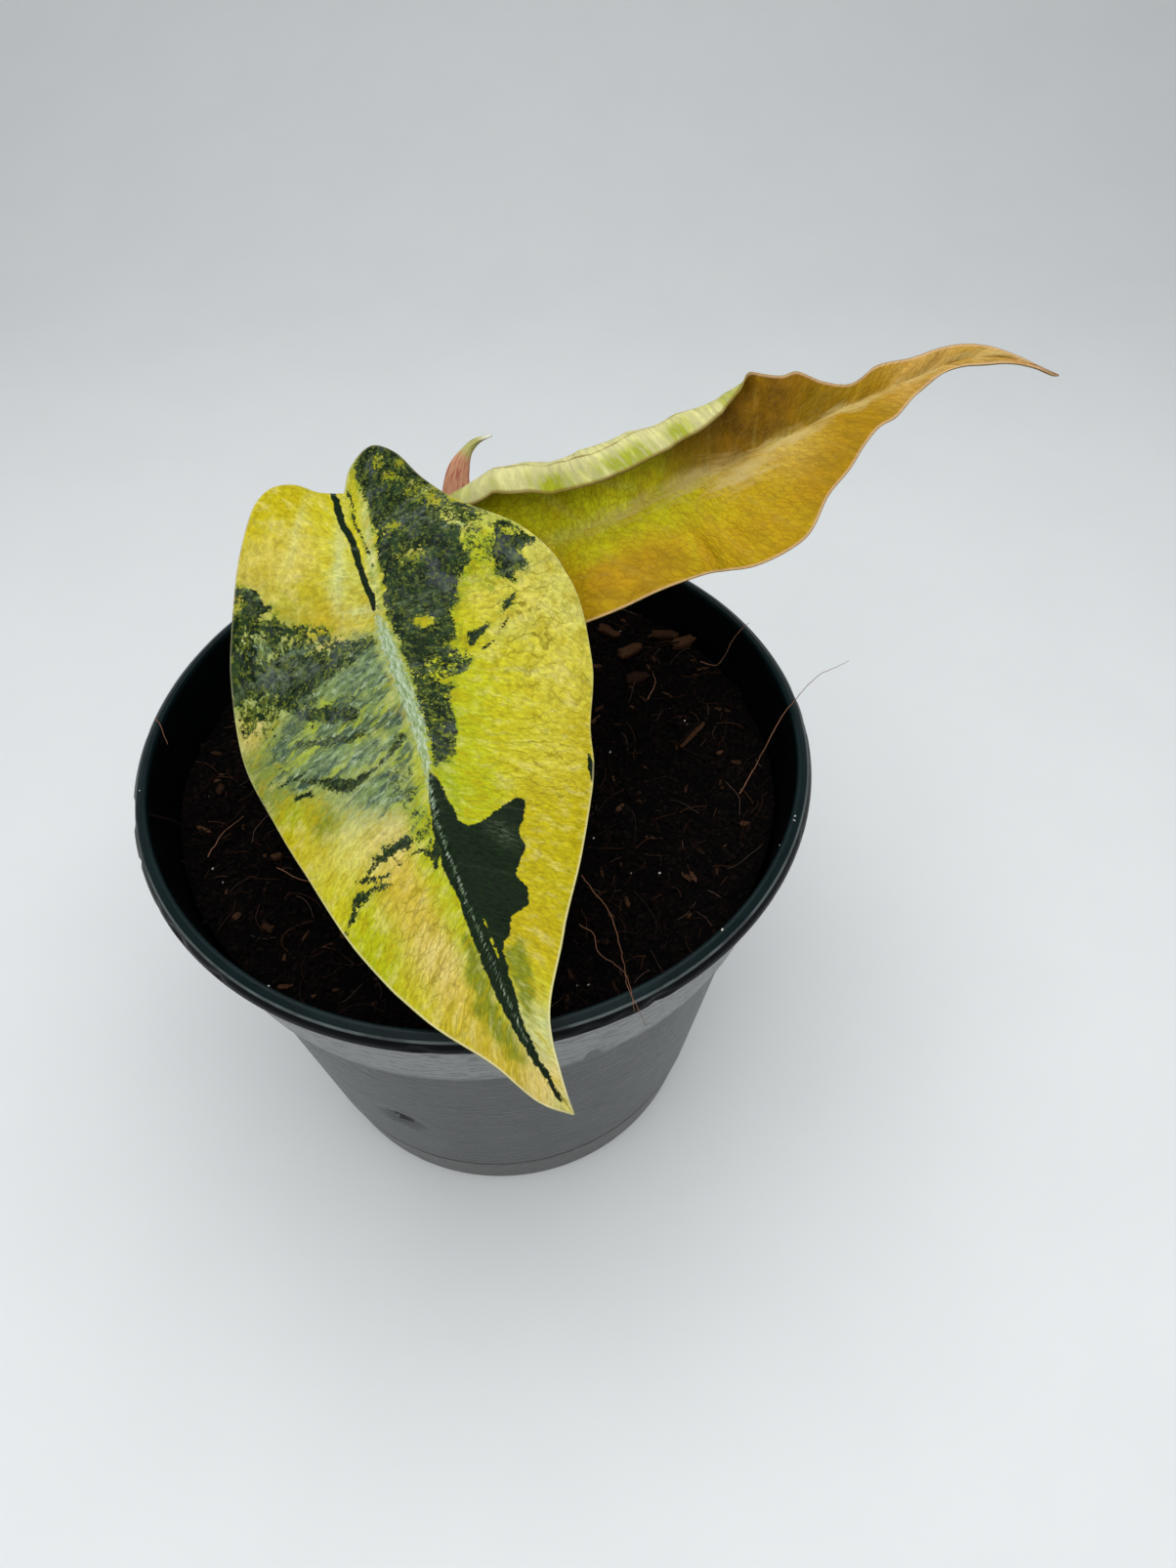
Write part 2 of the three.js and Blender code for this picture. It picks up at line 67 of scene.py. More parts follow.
Piece = bpy.types.Object
Material = bpy.types.Material
Socket = bpy.types.NodeSocket
Feed = bpy.types.NodeSocket | float | tuple[float, ...]
Feeds = dict[str | int, object]

MM = 0.001
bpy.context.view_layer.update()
log = logging.getLogger("potted_alocasia")


# Numbers and curves

def smooth_step(low: float | Array, high: float | Array, value: Array) -> Array:
    """A smooth rise from 0 to 1 while a value goes from low to high."""
    share = np.clip((value - low) / (high - low), 0.0, 1.0)
    return share * share * (3.0 - 2.0 * share)


def unit(vectors: Array) -> Array:
    """The vectors in their last axis, each made one long."""
    return vectors / np.linalg.norm(vectors, axis=-1, keepdims=True)


def bell(distance: Array, width: float) -> Array:
    """A bell curve that is 1 at no distance and fades over the width."""
    return np.exp(-((distance / width) ** 2))


def lattice_noise(x: Array, y: Array, size: float, seed: int) -> Array:
    """Smooth noise between -1 and 1 over a plane.

    Args:
        x: First coordinate, in mm.
        y: Second coordinate, in mm.
        size: Distance between its independent values, in mm.
        seed: Which of the fixed patterns to use.

    Returns:
        The noise at each place.
    """
    side = 128
    table = np.random.default_rng(seed).uniform(-1.0, 1.0, (side, side))
    across, along = x / size, y / size
    column, row = np.floor(across).astype(int), np.floor(along).astype(int)
    tx, ty = smooth_step(0.0, 1.0, across - column), smooth_step(0.0, 1.0, along - row)
    column, row = column % side, row % side
    right, above = (column + 1) % side, (row + 1) % side
    low = table[row, column] * (1 - tx) + table[row, right] * tx
    high = table[above, column] * (1 - tx) + table[above, right] * tx
    return low * (1 - ty) + high * ty


def layered_noise(x: Array, y: Array, size: float, layers: int, seed: int) -> Array:
    """Noise summed from ever finer layers, roughly between -1 and 1.

    Args:
        x: First coordinate, in mm.
        y: Second coordinate, in mm.
        size: Size of the coarsest layer, in mm.
        layers: How many layers, each half the size and strength of the one before.
        seed: Which of the fixed patterns to use.

    Returns:
        The summed noise at each place.
    """
    total = np.zeros(np.broadcast(x, y).shape)
    for layer in range(layers):
        total += lattice_noise(x, y, size / 2**layer, seed + layer) / 2**layer
    return total / (2.0 - 0.5 ** (layers - 1))


def read_table(pairs: Sequence[Pair], place: Array) -> Array:
    """Values read straight between [place, value] pairs."""
    table = np.asarray(pairs, float)
    return np.interp(place, table[:, 0], table[:, 1])


class SmoothPath:
    """A Catmull-Rom curve through points, whose knots are spaced by a power of the distance."""

    def __init__(self, points: Sequence[Sequence[float]], power: float, zero: int = 0) -> None:
        """Prepares the curve.

        Args:
            points: The points that it passes through.
            power: 1 for chord length, 0.5 for the tighter centripetal curve.
            zero: Index of the point where the knot value is 0.
        """
        self.points = np.asarray(points, float)
        gaps = np.diff(self.points, axis=0)
        steps = np.linalg.norm(gaps, axis=1) ** power
        self.knots = np.concatenate([[0.0], np.cumsum(steps)])
        self.knots -= self.knots[zero]
        slopes = gaps / steps[:, None]
        before, after = steps[:-1, None], steps[1:, None]
        inner = (slopes[:-1] * after + slopes[1:] * before) / (before + after)
        self.tangents = np.vstack([slopes[:1], inner, slopes[-1:]])

    def at(self, knot: Array) -> tuple[Array, Array]:
        """Points and directions on the curve.

        Args:
            knot: Knot values, held within the curve's ends.

        Returns:
            The points, and the unit tangents there.
        """
        knot = np.clip(np.asarray(knot, float), self.knots[0], self.knots[-1])
        i = np.clip(np.searchsorted(self.knots, knot) - 1, 0, len(self.knots) - 2)
        span = (self.knots[i + 1] - self.knots[i])[..., None]
        x = (knot - self.knots[i])[..., None] / span
        p0, p1 = self.points[i], self.points[i + 1]
        m0, m1 = self.tangents[i] * span, self.tangents[i + 1] * span
        point = (2 * x**3 - 3 * x**2 + 1) * p0 + (3 * x**2 - 2 * x**3) * p1
        point = point + (x**3 - 2 * x**2 + x) * m0 + (x**3 - x**2) * m1
        slope = (6 * x**2 - 6 * x) * (p0 - p1) + (3 * x**2 - 4 * x + 1) * m0 + (3 * x**2 - 2 * x) * m1
        return point, unit(slope)

    def evenly(self, count: int) -> tuple[Array, Array]:
        """Points and tangents at equal steps of the curve's length.

        Args:
            count: How many, with both ends included.

        Returns:
            The points, and the unit tangents there.
        """
        dense = np.linspace(self.knots[0], self.knots[-1], 40 * len(self.knots))
        points, _ = self.at(dense)
        walked = np.concatenate([[0.0], np.cumsum(np.linalg.norm(np.diff(points, axis=0), axis=1))])
        return self.at(np.interp(np.linspace(0.0, walked[-1], count), walked, dense))


# Meshes

def shown(name: str, data: bpy.types.ID) -> Piece:
    """Makes an object of a mesh, a curve, a lamp or a camera, and puts it in the scene.

    Args:
        name: The object's name.
        data: What it shows.

    Returns:
        The object, at the origin.
    """
    made = bpy.data.objects.new(name, data)
    bpy.context.scene.collection.objects.link(made)
    return made


def plain_mesh(piece: Piece) -> bpy.types.Mesh:
    """The mesh that a piece's modifiers make."""
    graph = bpy.context.evaluated_depsgraph_get()
    return bpy.data.meshes.new_from_object(piece.evaluated_get(graph), depsgraph=graph)


def add_mesh(name: str, points: Array, faces: Sequence[Array]) -> Piece:
    """Makes a smooth object from points in mm, with its faces turned outwards as one.

    Args:
        name: The object's name.
        points: One row of three coordinates for each vertex, in mm.
        faces: Arrays of faces, each array with one number of corners, all wound alike.

    Returns:
        The new object, at the origin.
    """
    volume = 0.0
    for group in faces:
        for k in range(1, group.shape[1] - 1):
            a, b, c = points[group[:, 0]], points[group[:, k]], points[group[:, k + 1]]
            volume += float(np.einsum("ij,ij->", a, np.cross(b, c)))
    polygons = [row for group in faces for row in (group if volume > 0 else group[:, ::-1]).tolist()]
    mesh = bpy.data.meshes.new(name)
    mesh.from_pydata((points * MM).tolist(), [], polygons)
    mesh.shade_smooth()
    return shown(name, mesh)


def store(piece: Piece, name: str, values: Array) -> None:
    """Stores a value, a place or a colour for each vertex.

    Args:
        piece: The object whose mesh gets the attribute.
        name: The attribute's name.
        values: One number for each vertex, or one row of three.
    """
    values = np.asarray(values, np.float32)
    kind, key = ("FLOAT", "value") if values.ndim == 1 else ("FLOAT_VECTOR", "vector")
    piece.data.attributes.new(name, kind, "POINT").data.foreach_set(key, values.ravel())


def paint(piece: Piece, *finishes: Material) -> None:
    """Gives the piece these materials, in the order of its faces' material numbers."""
    for finish in finishes:
        piece.data.materials.append(finish)


def settle(piece: Piece, slot: str, *nodes: str) -> None:
    """Lets a finished piece ride on the plant and stand for CAD nodes.

    Args:
        piece: The finished object.
        slot: The record's material slot; not used.
        *nodes: The CAD nodes that it replaces.
    """
    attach(piece, "root")
    if nodes:
        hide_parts(*nodes)
    log.info("%s: %d faces", piece.name, len(piece.data.polygons))


def skinned(name: str, rings: Array, ends: Sequence[Array]) -> Piece:
    """A closed solid skinned over rings of points, and closed to a point at both ends.

    Args:
        name: The object's name.
        rings: For each ring its points, in mm, the same number on each.
        ends: The points that close the first ring and the last.

    Returns:
        The solid. Its vertices keep the order of the rings, with the two end points last.
    """
    steps, around = rings.shape[:2]
    index = np.arange(steps * around).reshape(steps, around)
    ahead = np.roll(index, -1, axis=1)
    walls = np.stack([index[:-1], ahead[:-1], ahead[1:], index[1:]], axis=-1).reshape(-1, 4)
    foot = np.stack([np.full(around, steps * around), ahead[0], index[0]], axis=-1)
    head = np.stack([np.full(around, steps * around + 1), index[-1], ahead[-1]], axis=-1)
    return add_mesh(name, np.vstack([rings.reshape(-1, 3), *ends]), [walls, foot, head])


def turned_rings(profile: Array, segments: int, centre: Pair = (0.0, 0.0)) -> Array:
    """Rings about an upright axis.

    Args:
        profile: Rows of radius and height, in mm.
        segments: How many points each ring has.
        centre: Where the axis stands.

    Returns:
        For each row of the profile its ring of points.
    """
    angles = np.linspace(0.0, 2 * math.pi, segments, endpoint=False)
    radius, height = profile[:, :1], profile[:, 1:]
    x, y = centre[0] + radius * np.cos(angles), centre[1] + radius * np.sin(angles)
    return np.stack([x, y, np.broadcast_to(height, x.shape)], axis=-1)


def swept_rings(centres: Array, tangents: Array, sections: Array) -> Array:
    """Rings along a path, with a section of its own at every step.

    Args:
        centres: The path's points, in mm.
        tangents: Unit directions of the path there.
        sections: For each point a ring of (side, up) offsets, in mm, with side laid towards +X.

    Returns:
        For each point of the path its ring of points.
    """
    across = np.array([1.0, 0.0, 0.0])
    side = unit(across - tangents * (tangents @ across)[:, None])
    up = np.cross(tangents, side)
    return centres[:, None] + sections[..., :1] * side[:, None] + sections[..., 1:] * up[:, None]


def rounded(corners: Sequence[Triple], steps: int = 4) -> Array:
    """A profile with its corners rounded.

    Args:
        corners: Rows of radius, height and rounding, in mm.
        steps: How many steps each rounding takes.

    Returns:
        Rows of radius and height.
    """
    places = np.asarray(corners, float)[:, :2]
    rows = [places[0]]
    for i in range(1, len(corners) - 1):
        fillet = corners[i][2]
        if fillet == 0:
            rows.append(places[i])
            continue
        start = places[i] + unit(places[i - 1] - places[i]) * fillet
        end = places[i] + unit(places[i + 1] - places[i]) * fillet
        for t in np.linspace(0.0, 1.0, steps + 1):
            rows.append((1 - t) ** 2 * start + 2 * t * (1 - t) * places[i] + t * t * end)
    rows.append(places[-1])
    return np.array(rows)


def divided(profile: Array, longest: float) -> Array:
    """A profile with points added to its long steps.

    Args:
        profile: Rows of radius and height, in mm.
        longest: The longest step left, in mm.

    Returns:
        The rows with those that were added.
    """
    rows = [profile[:1]]
    for start, end in zip(profile[:-1], profile[1:]):
        count = max(1, math.ceil(np.linalg.norm(end - start) / longest))
        rows.append(start + (end - start) * (np.arange(1, count + 1) / count)[:, None])
    return np.vstack(rows)


# Nodes

class NodeMaker:
    """Adds nodes to one tree. Most methods return the socket that they make."""

    def __init__(self, tree: bpy.types.NodeTree) -> None:
        """Takes the tree that the nodes go into."""
        self.tree = tree

    def feed(self, socket: Socket, value: object) -> None:
        """Links a socket to an input, or sets the input's own value.

        Args:
            socket: The input.
            value: The socket, or the value. A colour comes without its alpha.
        """
        if isinstance(value, bpy.types.NodeSocket):
            self.tree.links.new(value, socket)
        else:
            socket.default_value = (*value, 1.0) if socket.type == "RGBA" else value

    def node(self, kind: str, feeds: Feeds | None = None, **settings: object) -> bpy.types.Node:
        """Adds a node.

        Args:
            kind: The node's type.
            feeds: For each input, by name or number, the socket or value that it gets.
            **settings: Properties to set on it first.

        Returns:
            The node.
        """
        made = self.tree.nodes.new(kind)
        for key, value in settings.items():
            setattr(made, key, value)
        for key, value in (feeds or {}).items():
            self.feed(made.inputs[key], value)
        return made

    def made(self, kind: str, feeds: Feeds, output: str | int = 0, **settings: object) -> Socket:
        """Adds a node as above and returns one of its outputs."""
        return self.node(kind, feeds, **settings).outputs[output]

    def math(self, operation: str, *values: Feed) -> Socket:
        """The result of a Math node."""
        return self.made("ShaderNodeMath", dict(enumerate(values)), operation=operation)

    def times(self, first: Feed, second: Feed) -> Socket:
        """The product of two numbers."""
        return self.math("MULTIPLY", first, second)

    def linear(self, value: Feed, slope: Feed, start: Feed) -> Socket:
        """A number times a slope, plus a start."""
        return self.math("MULTIPLY_ADD", value, slope, start)

    def level(self, vector: Socket, amount: Feed) -> Socket:
        """A colour or a place times a number."""
        return self.made("ShaderNodeVectorMath", {0: vector, "Scale": amount}, operation="SCALE")

    def push(self, noise: dict[str, object], amount: Feed, middle: Triple = (0.5, 0.5, 0.5)) -> Socket:
        """A push this way and that, by noise with these inputs, about this middle."""
        feeds = {0: self.made("ShaderNodeTexNoise", noise, 1), 1: middle}
        return self.level(self.made("ShaderNodeVectorMath", feeds, operation="SUBTRACT"), amount)


class Shade(NodeMaker):
    """Builds one material's nodes. Sizes are in mm."""

    def __init__(self, name: str) -> None:
        """Starts a material with one shader.

        Args:
            name: The material's name.
        """
        self.material = bpy.data.materials.new(name)
        self.material.use_nodes = True
        super().__init__(self.material.node_tree)
        self.tree.nodes.clear()
        self.shader = self.node("ShaderNodeBsdfPrincipled")
        self.node("ShaderNodeOutputMaterial", {"Surface": self.shader.outputs["BSDF"]})

    def finish(self, **inputs: Feed) -> Material:
        """Feeds the shader.

        Args:
            **inputs: What each of its inputs gets, with underscores for spaces in its name.

        Returns:
            The material.
        """
        for key, value in inputs.items():
            self.feed(self.shader.inputs[key.replace("_", " ")], value)
        return self.material

    def value(self, name: str) -> Socket:
        """A number stored on the mesh."""
        return self.made("ShaderNodeAttribute", {}, "Fac", attribute_name=name)

    def vector(self, name: str) -> Socket:
        """A place or colour stored on the mesh."""
        return self.made("ShaderNodeAttribute", {}, "Vector", attribute_name=name)

    def place(self) -> Socket:
        """The place on the piece, in mm."""
        return self.level(self.made("ShaderNodeTexCoord", {}, "Object"), 1.0 / MM)

    def height(self, place: Socket) -> Socket:
        """The third coordinate of a place."""
        return self.made("ShaderNodeSeparateXYZ", {0: place}, 2)

    def stretched(self, vector: Socket, x: float, y: float = 1.0, z: float = 1.0) -> Socket:
        """A place scaled on each axis."""
        return self.made("ShaderNodeMapping", {"Vector": vector, "Scale": (x, y, z)})

    def warped(self, vector: Socket, size: float, amount: float) -> Socket:
        """A place pushed about by noise of a size, by at most the amount."""
        push = self.push({"Vector": vector, "Scale": 1.0 / size, "Detail": 2.0}, 2.0 * amount)
        return self.made("ShaderNodeVectorMath", {0: vector, 1: push}, operation="ADD")

    def flowing(self, vector: Socket, size: float, amount: float, *scales: float) -> Socket:
        """A place pushed about by noise and then scaled on each axis."""
        return self.stretched(self.warped(vector, size, amount), *scales)

    def noise(self, vector: Socket, size: float, detail: float = 3.0, rough: float = 0.55) -> Socket:
        """Noise from about 0.25 to 0.75: the size of its broad forms, its finer layers and their strength."""
        feeds = {"Vector": vector, "Scale": 1.0 / size, "Detail": detail, "Roughness": rough}
        return self.made("ShaderNodeTexNoise", feeds)

    def net(self, vector: Socket, size: float) -> Socket:
        """The distance to the edge of irregular cells of a size, as a share of it."""
        feeds = {"Vector": vector, "Scale": 1.0 / size}
        return self.made("ShaderNodeTexVoronoi", feeds, "Distance", feature="DISTANCE_TO_EDGE")

    def chips(self, vector: Socket, size: float) -> Socket:
        """A tone for each of a pattern's irregular cells."""
        return self.made("ShaderNodeTexVoronoi", {"Vector": vector, "Scale": 1.0 / size}, "Color")

    def ramp(self, value: Feed, low: float, high: float, start: float = 0.0, end: float = 1.0) -> Socket:
        """A value's rise from low to high, smoothed, as start to end."""
        feeds = {"Value": value, "From Min": low, "From Max": high, "To Min": start, "To Max": end}
        return self.made("ShaderNodeMapRange", feeds, interpolation_type="SMOOTHSTEP")

    def mix(self, share: Feed, first: Feed, second: Feed) -> Socket:
        """Two colours mixed, with this share of the second."""
        return self.made("ShaderNodeMix", {0: share, 6: first, 7: second}, 2, data_type="RGBA")

    def bump(self, height: Socket, depth: float, **below: Socket) -> Socket:
        """A raised pattern as a normal.

        Args:
            height: The pattern, from 0 to 1.
            depth: What a height of 1 measures, in mm.
            **below: As Normal, the normal of what the pattern lies on.

        Returns:
            The normal.
        """
        return self.made("ShaderNodeBump", {"Height": height, "Distance": depth * MM, **below})


# Geometry Nodes

class GeometryTree(NodeMaker):
    """Builds one Geometry Nodes tree with named inputs and makes a plain mesh with it."""

    def __init__(self, name: str) -> None:
        """Starts the tree.

        Args:
            name: Its name, and that of the piece it makes.
        """
        super().__init__(bpy.data.node_groups.new(name, "GeometryNodeTree"))
        for label, way in (("Base", "INPUT"), ("Made", "OUTPUT")):
            self.tree.interface.new_socket(label, in_out=way, socket_type="NodeSocketGeometry")
        self.name = name
        self.entry = self.node("NodeGroupInput")
        self.values: dict[str, object] = {}

    def size(self, name: str, value: object, kind: str = "NodeSocketFloat") -> Socket:
        """Adds a named input.

        Args:
            name: The input's name.
            value: The value that this tree is run with.
            kind: The socket's type.

        Returns:
            The socket that carries the value inside the tree.
        """
        made = self.tree.interface.new_socket(name, in_out="INPUT", socket_type=kind)
        self.values[made.identifier] = value
        return self.entry.outputs[name]

    def chance(self, least: object, most: object, seed: int, single: bool = False) -> Socket:
        """A random number or vector between two.

        Args:
            least: The least that it can be.
            most: The most.
            seed: Its seed.
            single: Whether it is a number.

        Returns:
            The number or the vector.
        """
        first, output, kind = (2, 1, "FLOAT") if single else (0, 0, "FLOAT_VECTOR")
        feeds = {first: least, first + 1: most, "Seed": seed}
        return self.made("FunctionNodeRandomValue", feeds, output, data_type=kind)

    def strewn(self, label: str, where: str, per_square_cm: float, seed: int) -> Socket:
        """Strews points over the base, each with a random tint.

        Args:
            label: The name of the input that sets how many there are.
            where: The attribute that says how thickly they lie.
            per_square_cm: How many there are where it is 1.
            seed: The seed of their places. The next one is that of their tints.

        Returns:
            The points.
        """
        density = self.size(label, per_square_cm * 1.0e4)
        seeded = self.size("Seed", seed, "NodeSocketInt")
        share = self.made("GeometryNodeInputNamedAttribute", {"Name": where}, data_type="FLOAT")
        feeds = {0: self.entry.outputs["Base"], "Density": self.times(density, share), "Seed": seeded}
        points = self.made("GeometryNodeDistributePointsOnFaces", feeds, distribute_method="RANDOM")
        feeds = {"Geometry": points, "Name": "tint", "Value": self.chance(0.0, 1.0, seed + 1, single=True)}
        return self.made("GeometryNodeStoreNamedAttribute", feeds, data_type="FLOAT", domain="POINT")

    def placed(self, points: Socket, shape: Socket, turns: Triple, scale: Socket, seed: int) -> Socket:
        """Sets a shape on every point, each turned by chance.

        Args:
            points: The points.
            shape: The shape.
            turns: The furthest turns about the three axes, both ways, in radians.
            scale: The size of each.
            seed: The seed of their turns.

        Returns:
            The shapes.
        """
        turn = self.chance(tuple(-angle for angle in turns), turns, seed)
        feeds = {"Points": points, "Instance": shape, "Rotation": turn, "Scale": scale}
        real = self.made("GeometryNodeInstanceOnPoints", feeds)
        return self.made("GeometryNodeRealizeInstances", {"Geometry": real})

    def pushed(self, geometry: Socket, per_mm: float, detail: float, *push: object) -> Socket:
        """Geometry pushed about by noise, by an amount and about a middle."""
        offset = self.push({"Scale": per_mm / MM, "Detail": detail}, *push)
        return self.made("GeometryNodeSetPosition", {0: geometry, "Offset": offset})

    def tube(self, course: Socket, sides: int, radius: Feed, scale: Feed = 1.0) -> Socket:
        """A closed tube along a curve.

        Args:
            course: The curve.
            sides: How many sides the tube has.
            radius: Its radius.
            scale: What the radius is multiplied by at each point.

        Returns:
            The tube.
        """
        ring = self.made("GeometryNodeCurvePrimitiveCircle", {"Resolution": sides, "Radius": radius})
        feeds = {"Curve": course, "Profile Curve": ring, "Scale": scale, "Fill Caps": True}
        return self.made("GeometryNodeCurveToMesh", feeds)

    def run(self, geometry: Socket, finish: Material, base: Piece) -> Piece:
        """Ends the tree in real geometry with its material, and keeps what it makes as a mesh.

        Args:
            geometry: What the tree has made.
            finish: The material.
            base: The object whose geometry goes in.

        Returns:
            The new object.
        """
        carried = self.size("Finish", finish, "NodeSocketMaterial")
        real = self.made("GeometryNodeRealizeInstances", {"Geometry": geometry})
        dressed = self.made("GeometryNodeSetMaterial", {"Geometry": real, "Material": carried})
        self.node("NodeGroupOutput", {0: dressed})
        modifier = base.modifiers.new(self.name, "NODES")
        modifier.node_group = self.tree
        for identifier, value in self.values.items():
            modifier[identifier] = value
        mesh = plain_mesh(base)
        base.modifiers.remove(modifier)
        mesh.name = self.name
        return shown(self.name, mesh)


class Lie(Enum):
    """How a strewn bit lies: the furthest turns about its three axes, in radians."""

    ANYHOW = (math.pi, math.pi, math.pi)
    FLAT = (0.35, 0.35, math.pi)


@dataclass(frozen=True)
class Strewing:
    """Small rough lumps strewn over a surface where an attribute of it says so."""

    name: str
    where: str
    per_square_cm: float
    least: Triple
    most: Triple
    finish: Material
    seed: int
    lie: Lie = Lie.ANYHOW
    dent: float = 0.35

    def over(self, base: Piece) -> Piece:
        """Strews the lumps.

        Args:
            base: The piece whose surface they lie on.

        Returns:
            All the lumps as one mesh.
        """
        tree = GeometryTree(self.name)
        points = tree.strewn("Bits per square metre", self.where, self.per_square_cm, self.seed)
        least = tree.size("Smallest bit", [x * MM for x in self.least], "NodeSocketVector")
        most = tree.size("Largest bit", [x * MM for x in self.most], "NodeSocketVector")
        dent = tree.size("Depth of dents", self.dent * self.most[1] * MM)
        lump = tree.made("GeometryNodeMeshIcoSphere", {"Radius": 0.5, "Subdivisions": 1})
        scale = tree.chance(least, most, self.seed + 3)
        lumps = tree.placed(points, lump, self.lie.value, scale, self.seed + 2)
        return tree.run(tree.pushed(lumps, 0.9 / self.most[1], 2.0, dent), self.finish, base)


@dataclass(frozen=True)
class HairStrewing:
    """Short bent fibres strewn over a surface where an attribute of it says so."""

    name: str
    where: str
    per_square_cm: float
    length: Pair
    radius: float
    finish: Material
    seed: int
    wander: float = 1.6

    def over(self, base: Piece) -> Piece:
        """Strews the fibres.

        Args:
            base: The piece whose surface they lie on.

        Returns:
            All the fibres as one mesh.
        """
        tree = GeometryTree(self.name)
        points = tree.strewn("Fibres per square metre", self.where, self.per_square_cm, self.seed)
        least = tree.size("Shortest fibre", self.length[0] * MM)
        most = tree.size("Longest fibre", self.length[1] * MM)
        radius = tree.size("Fibre radius", self.radius * MM)
        wander = tree.size("Wander", self.wander * MM)
        bow = {"Resolution": 7, "Start": (-0.5, 0, 0), "Middle": (0.0, 0.22, 0.12), "End": (0.5, 0, 0)}
        strand = tree.made("GeometryNodeCurveQuadraticBezier", bow)
        length = tree.chance(least, most, self.seed + 3, single=True)
        fibres = tree.placed(points, strand, (0.3, 0.3, math.pi), length, self.seed + 2)
        bent = tree.pushed(fibres, 0.25, 1.0, wander, (0.5, 0.5, 0.42))
        return tree.run(tree.tube(bent, 3, radius), self.finish, base)


@dataclass(frozen=True)
class HairRoute:
    """Long root hairs, each a tapering tube along given points."""

    name: str
    radius: float
    finish: Material
    kink: float = 0.5

    def along(self, routes: Sequence[Sequence[Triple]]) -> Piece:
        """Makes the hairs.

        Args:
            routes: The points that each hair passes, in mm.

        Returns:
            All the hairs as one mesh.
        """
        curve = bpy.data.curves.new(self.name + "_routes", "CURVE")
        curve.dimensions = "3D"
        for route in routes:
            points, _ = SmoothPath(route, 0.5).evenly(8 * len(route))
            spline = curve.splines.new("POLY")
            spline.points.add(len(points) - 1)
            rows = np.c_[points * MM, np.ones(len(points))]
            spline.points.foreach_set("co", rows.astype(np.float32).ravel())
        base = shown(curve.name, curve)
        tree = GeometryTree(self.name)
        radius = tree.size("Hair radius", self.radius * MM)
        kink = tree.size("Kink", self.kink * MM)
        thick = tree.times(tree.linear(tree.made("GeometryNodeSplineParameter", {}), -0.6, 1.0), radius)
        bent = tree.pushed(tree.entry.outputs["Base"], 1.0 / 2.2, 1.0, kink)
        made = tree.run(tree.tube(bent, 5, 1.0, thick), self.finish, base)
        bpy.data.objects.remove(base)
        bpy.data.curves.remove(curve)
        return made


# Outlines of the two blades, in mm; a margin point is (u, v, s)

FRONT_MIDRIB = (
    (-21.6, 30, 139.6), (-15.5, 7, 135.5), (-12.5, -2, 130), (-6.1, -17.4, 122.5), (-1.9, -30.4, 116),
    (5.9, -49.7, 107), (13.6, -65.6, 100), (17.4, -70.4, 97),
)
FRONT_RIGHT_MARGIN = (
    (0, -22.3, -22.3), (2, -28.3, -21.3), (6, -32.6, -19), (9.5, -31, -16), (13, -24.5, -12),
    (18, -18, -8), (25.5, -11, -4), (31.5, -2, 0), (33.2, 6.5, 3.5), (30.6, 16.5, 8.5), (26.4, 25, 15),
    (24.4, 34, 24), (18.5, 45.7, 36), (10, 58.3, 50), (4.5, 67, 61), (1.8, 76, 72.5), (0, 82, 82),
)
FRONT_LEFT_MARGIN = (
    (0, -22.3, -22.3), (-4, -23.8, -20), (-7.5, -26.7, -18), (-11, -27.3, -15.5), (-14, -25.3, -12.5),
    (-17.4, -18.4, -9), (-21.8, -8.8, -5), (-25.7, 0.8, -1), (-28, 12, 4), (-27.2, 22.5, 12),
    (-23, 35, 24), (-18.5, 49, 37), (-12.5, 61.5, 51), (-6, 70.5, 62), (-2.9, 78, 73), (0, 82, 82),
)
BACK_MIDRIB = (
    (-2.8, 26.4, 113), (14.8, 26.3, 121), (22.4, 25.4, 125), (37.5, 30.1, 130.5), (50.6, 32.1, 135),
    (63.8, 37.1, 139), (77.2, 42.1, 142), (88.5, 45.7, 143.5), (95.4, 45.6, 143), (103.3, 44.5, 140.5),
)
BACK_RIGHT_MARGIN = (
    (0, -9, -9), (4, -14.5, -8), (8.5, -17, -6.5), (13, -14.5, -5), (17, -7, -3), (18.6, 0, -1),
    (17.5, 6, 1.5), (16, 12, 5), (16.8, 19, 10), (18.6, 27, 16.5), (19.6, 33, 22), (18, 39.5, 29),
    (13, 45, 36), (10.5, 50.5, 43), (6.2, 58.5, 52), (5.6, 62.5, 57), (3, 68, 64), (1.4, 73.5, 70.5),
    (1.6, 80, 78), (1, 88.5, 87.3), (0, 96, 96),
)
BACK_LEFT_MARGIN = (
    (0, -9, -9), (-6, -15, -8), (-12, -17, -6.8), (-18.5, -14.5, -5.5), (-22, -9, -3.8), (-22.8, -4, -2),
    (-21.8, 2, 0.5), (-21.5, 10, 5), (-21.5, 15, 9.5), (-20, 20, 14.5), (-18.3, 26, 20.5),
    (-17.8, 31, 25.5), (-16, 35.5, 30), (-15, 39, 33.5), (-12.6, 42.5, 37), (-9.5, 47.5, 42), (-9, 50, 45),
    (-5.5, 53.5, 49), (-3.2, 58, 54), (-4.2, 63, 59), (-3.3, 69, 65), (-3, 75, 71.5), (-2, 82, 79.5),
    (-0.7, 88.5, 87), (0, 96, 96),
)
BACK_ROLL_START = (
    (-16, 10.5), (-5, 12.5), (5, 9.7), (15, 9.5), (25, 7.6), (35, 7.5), (43, 9.5), (96, 9.5),
)


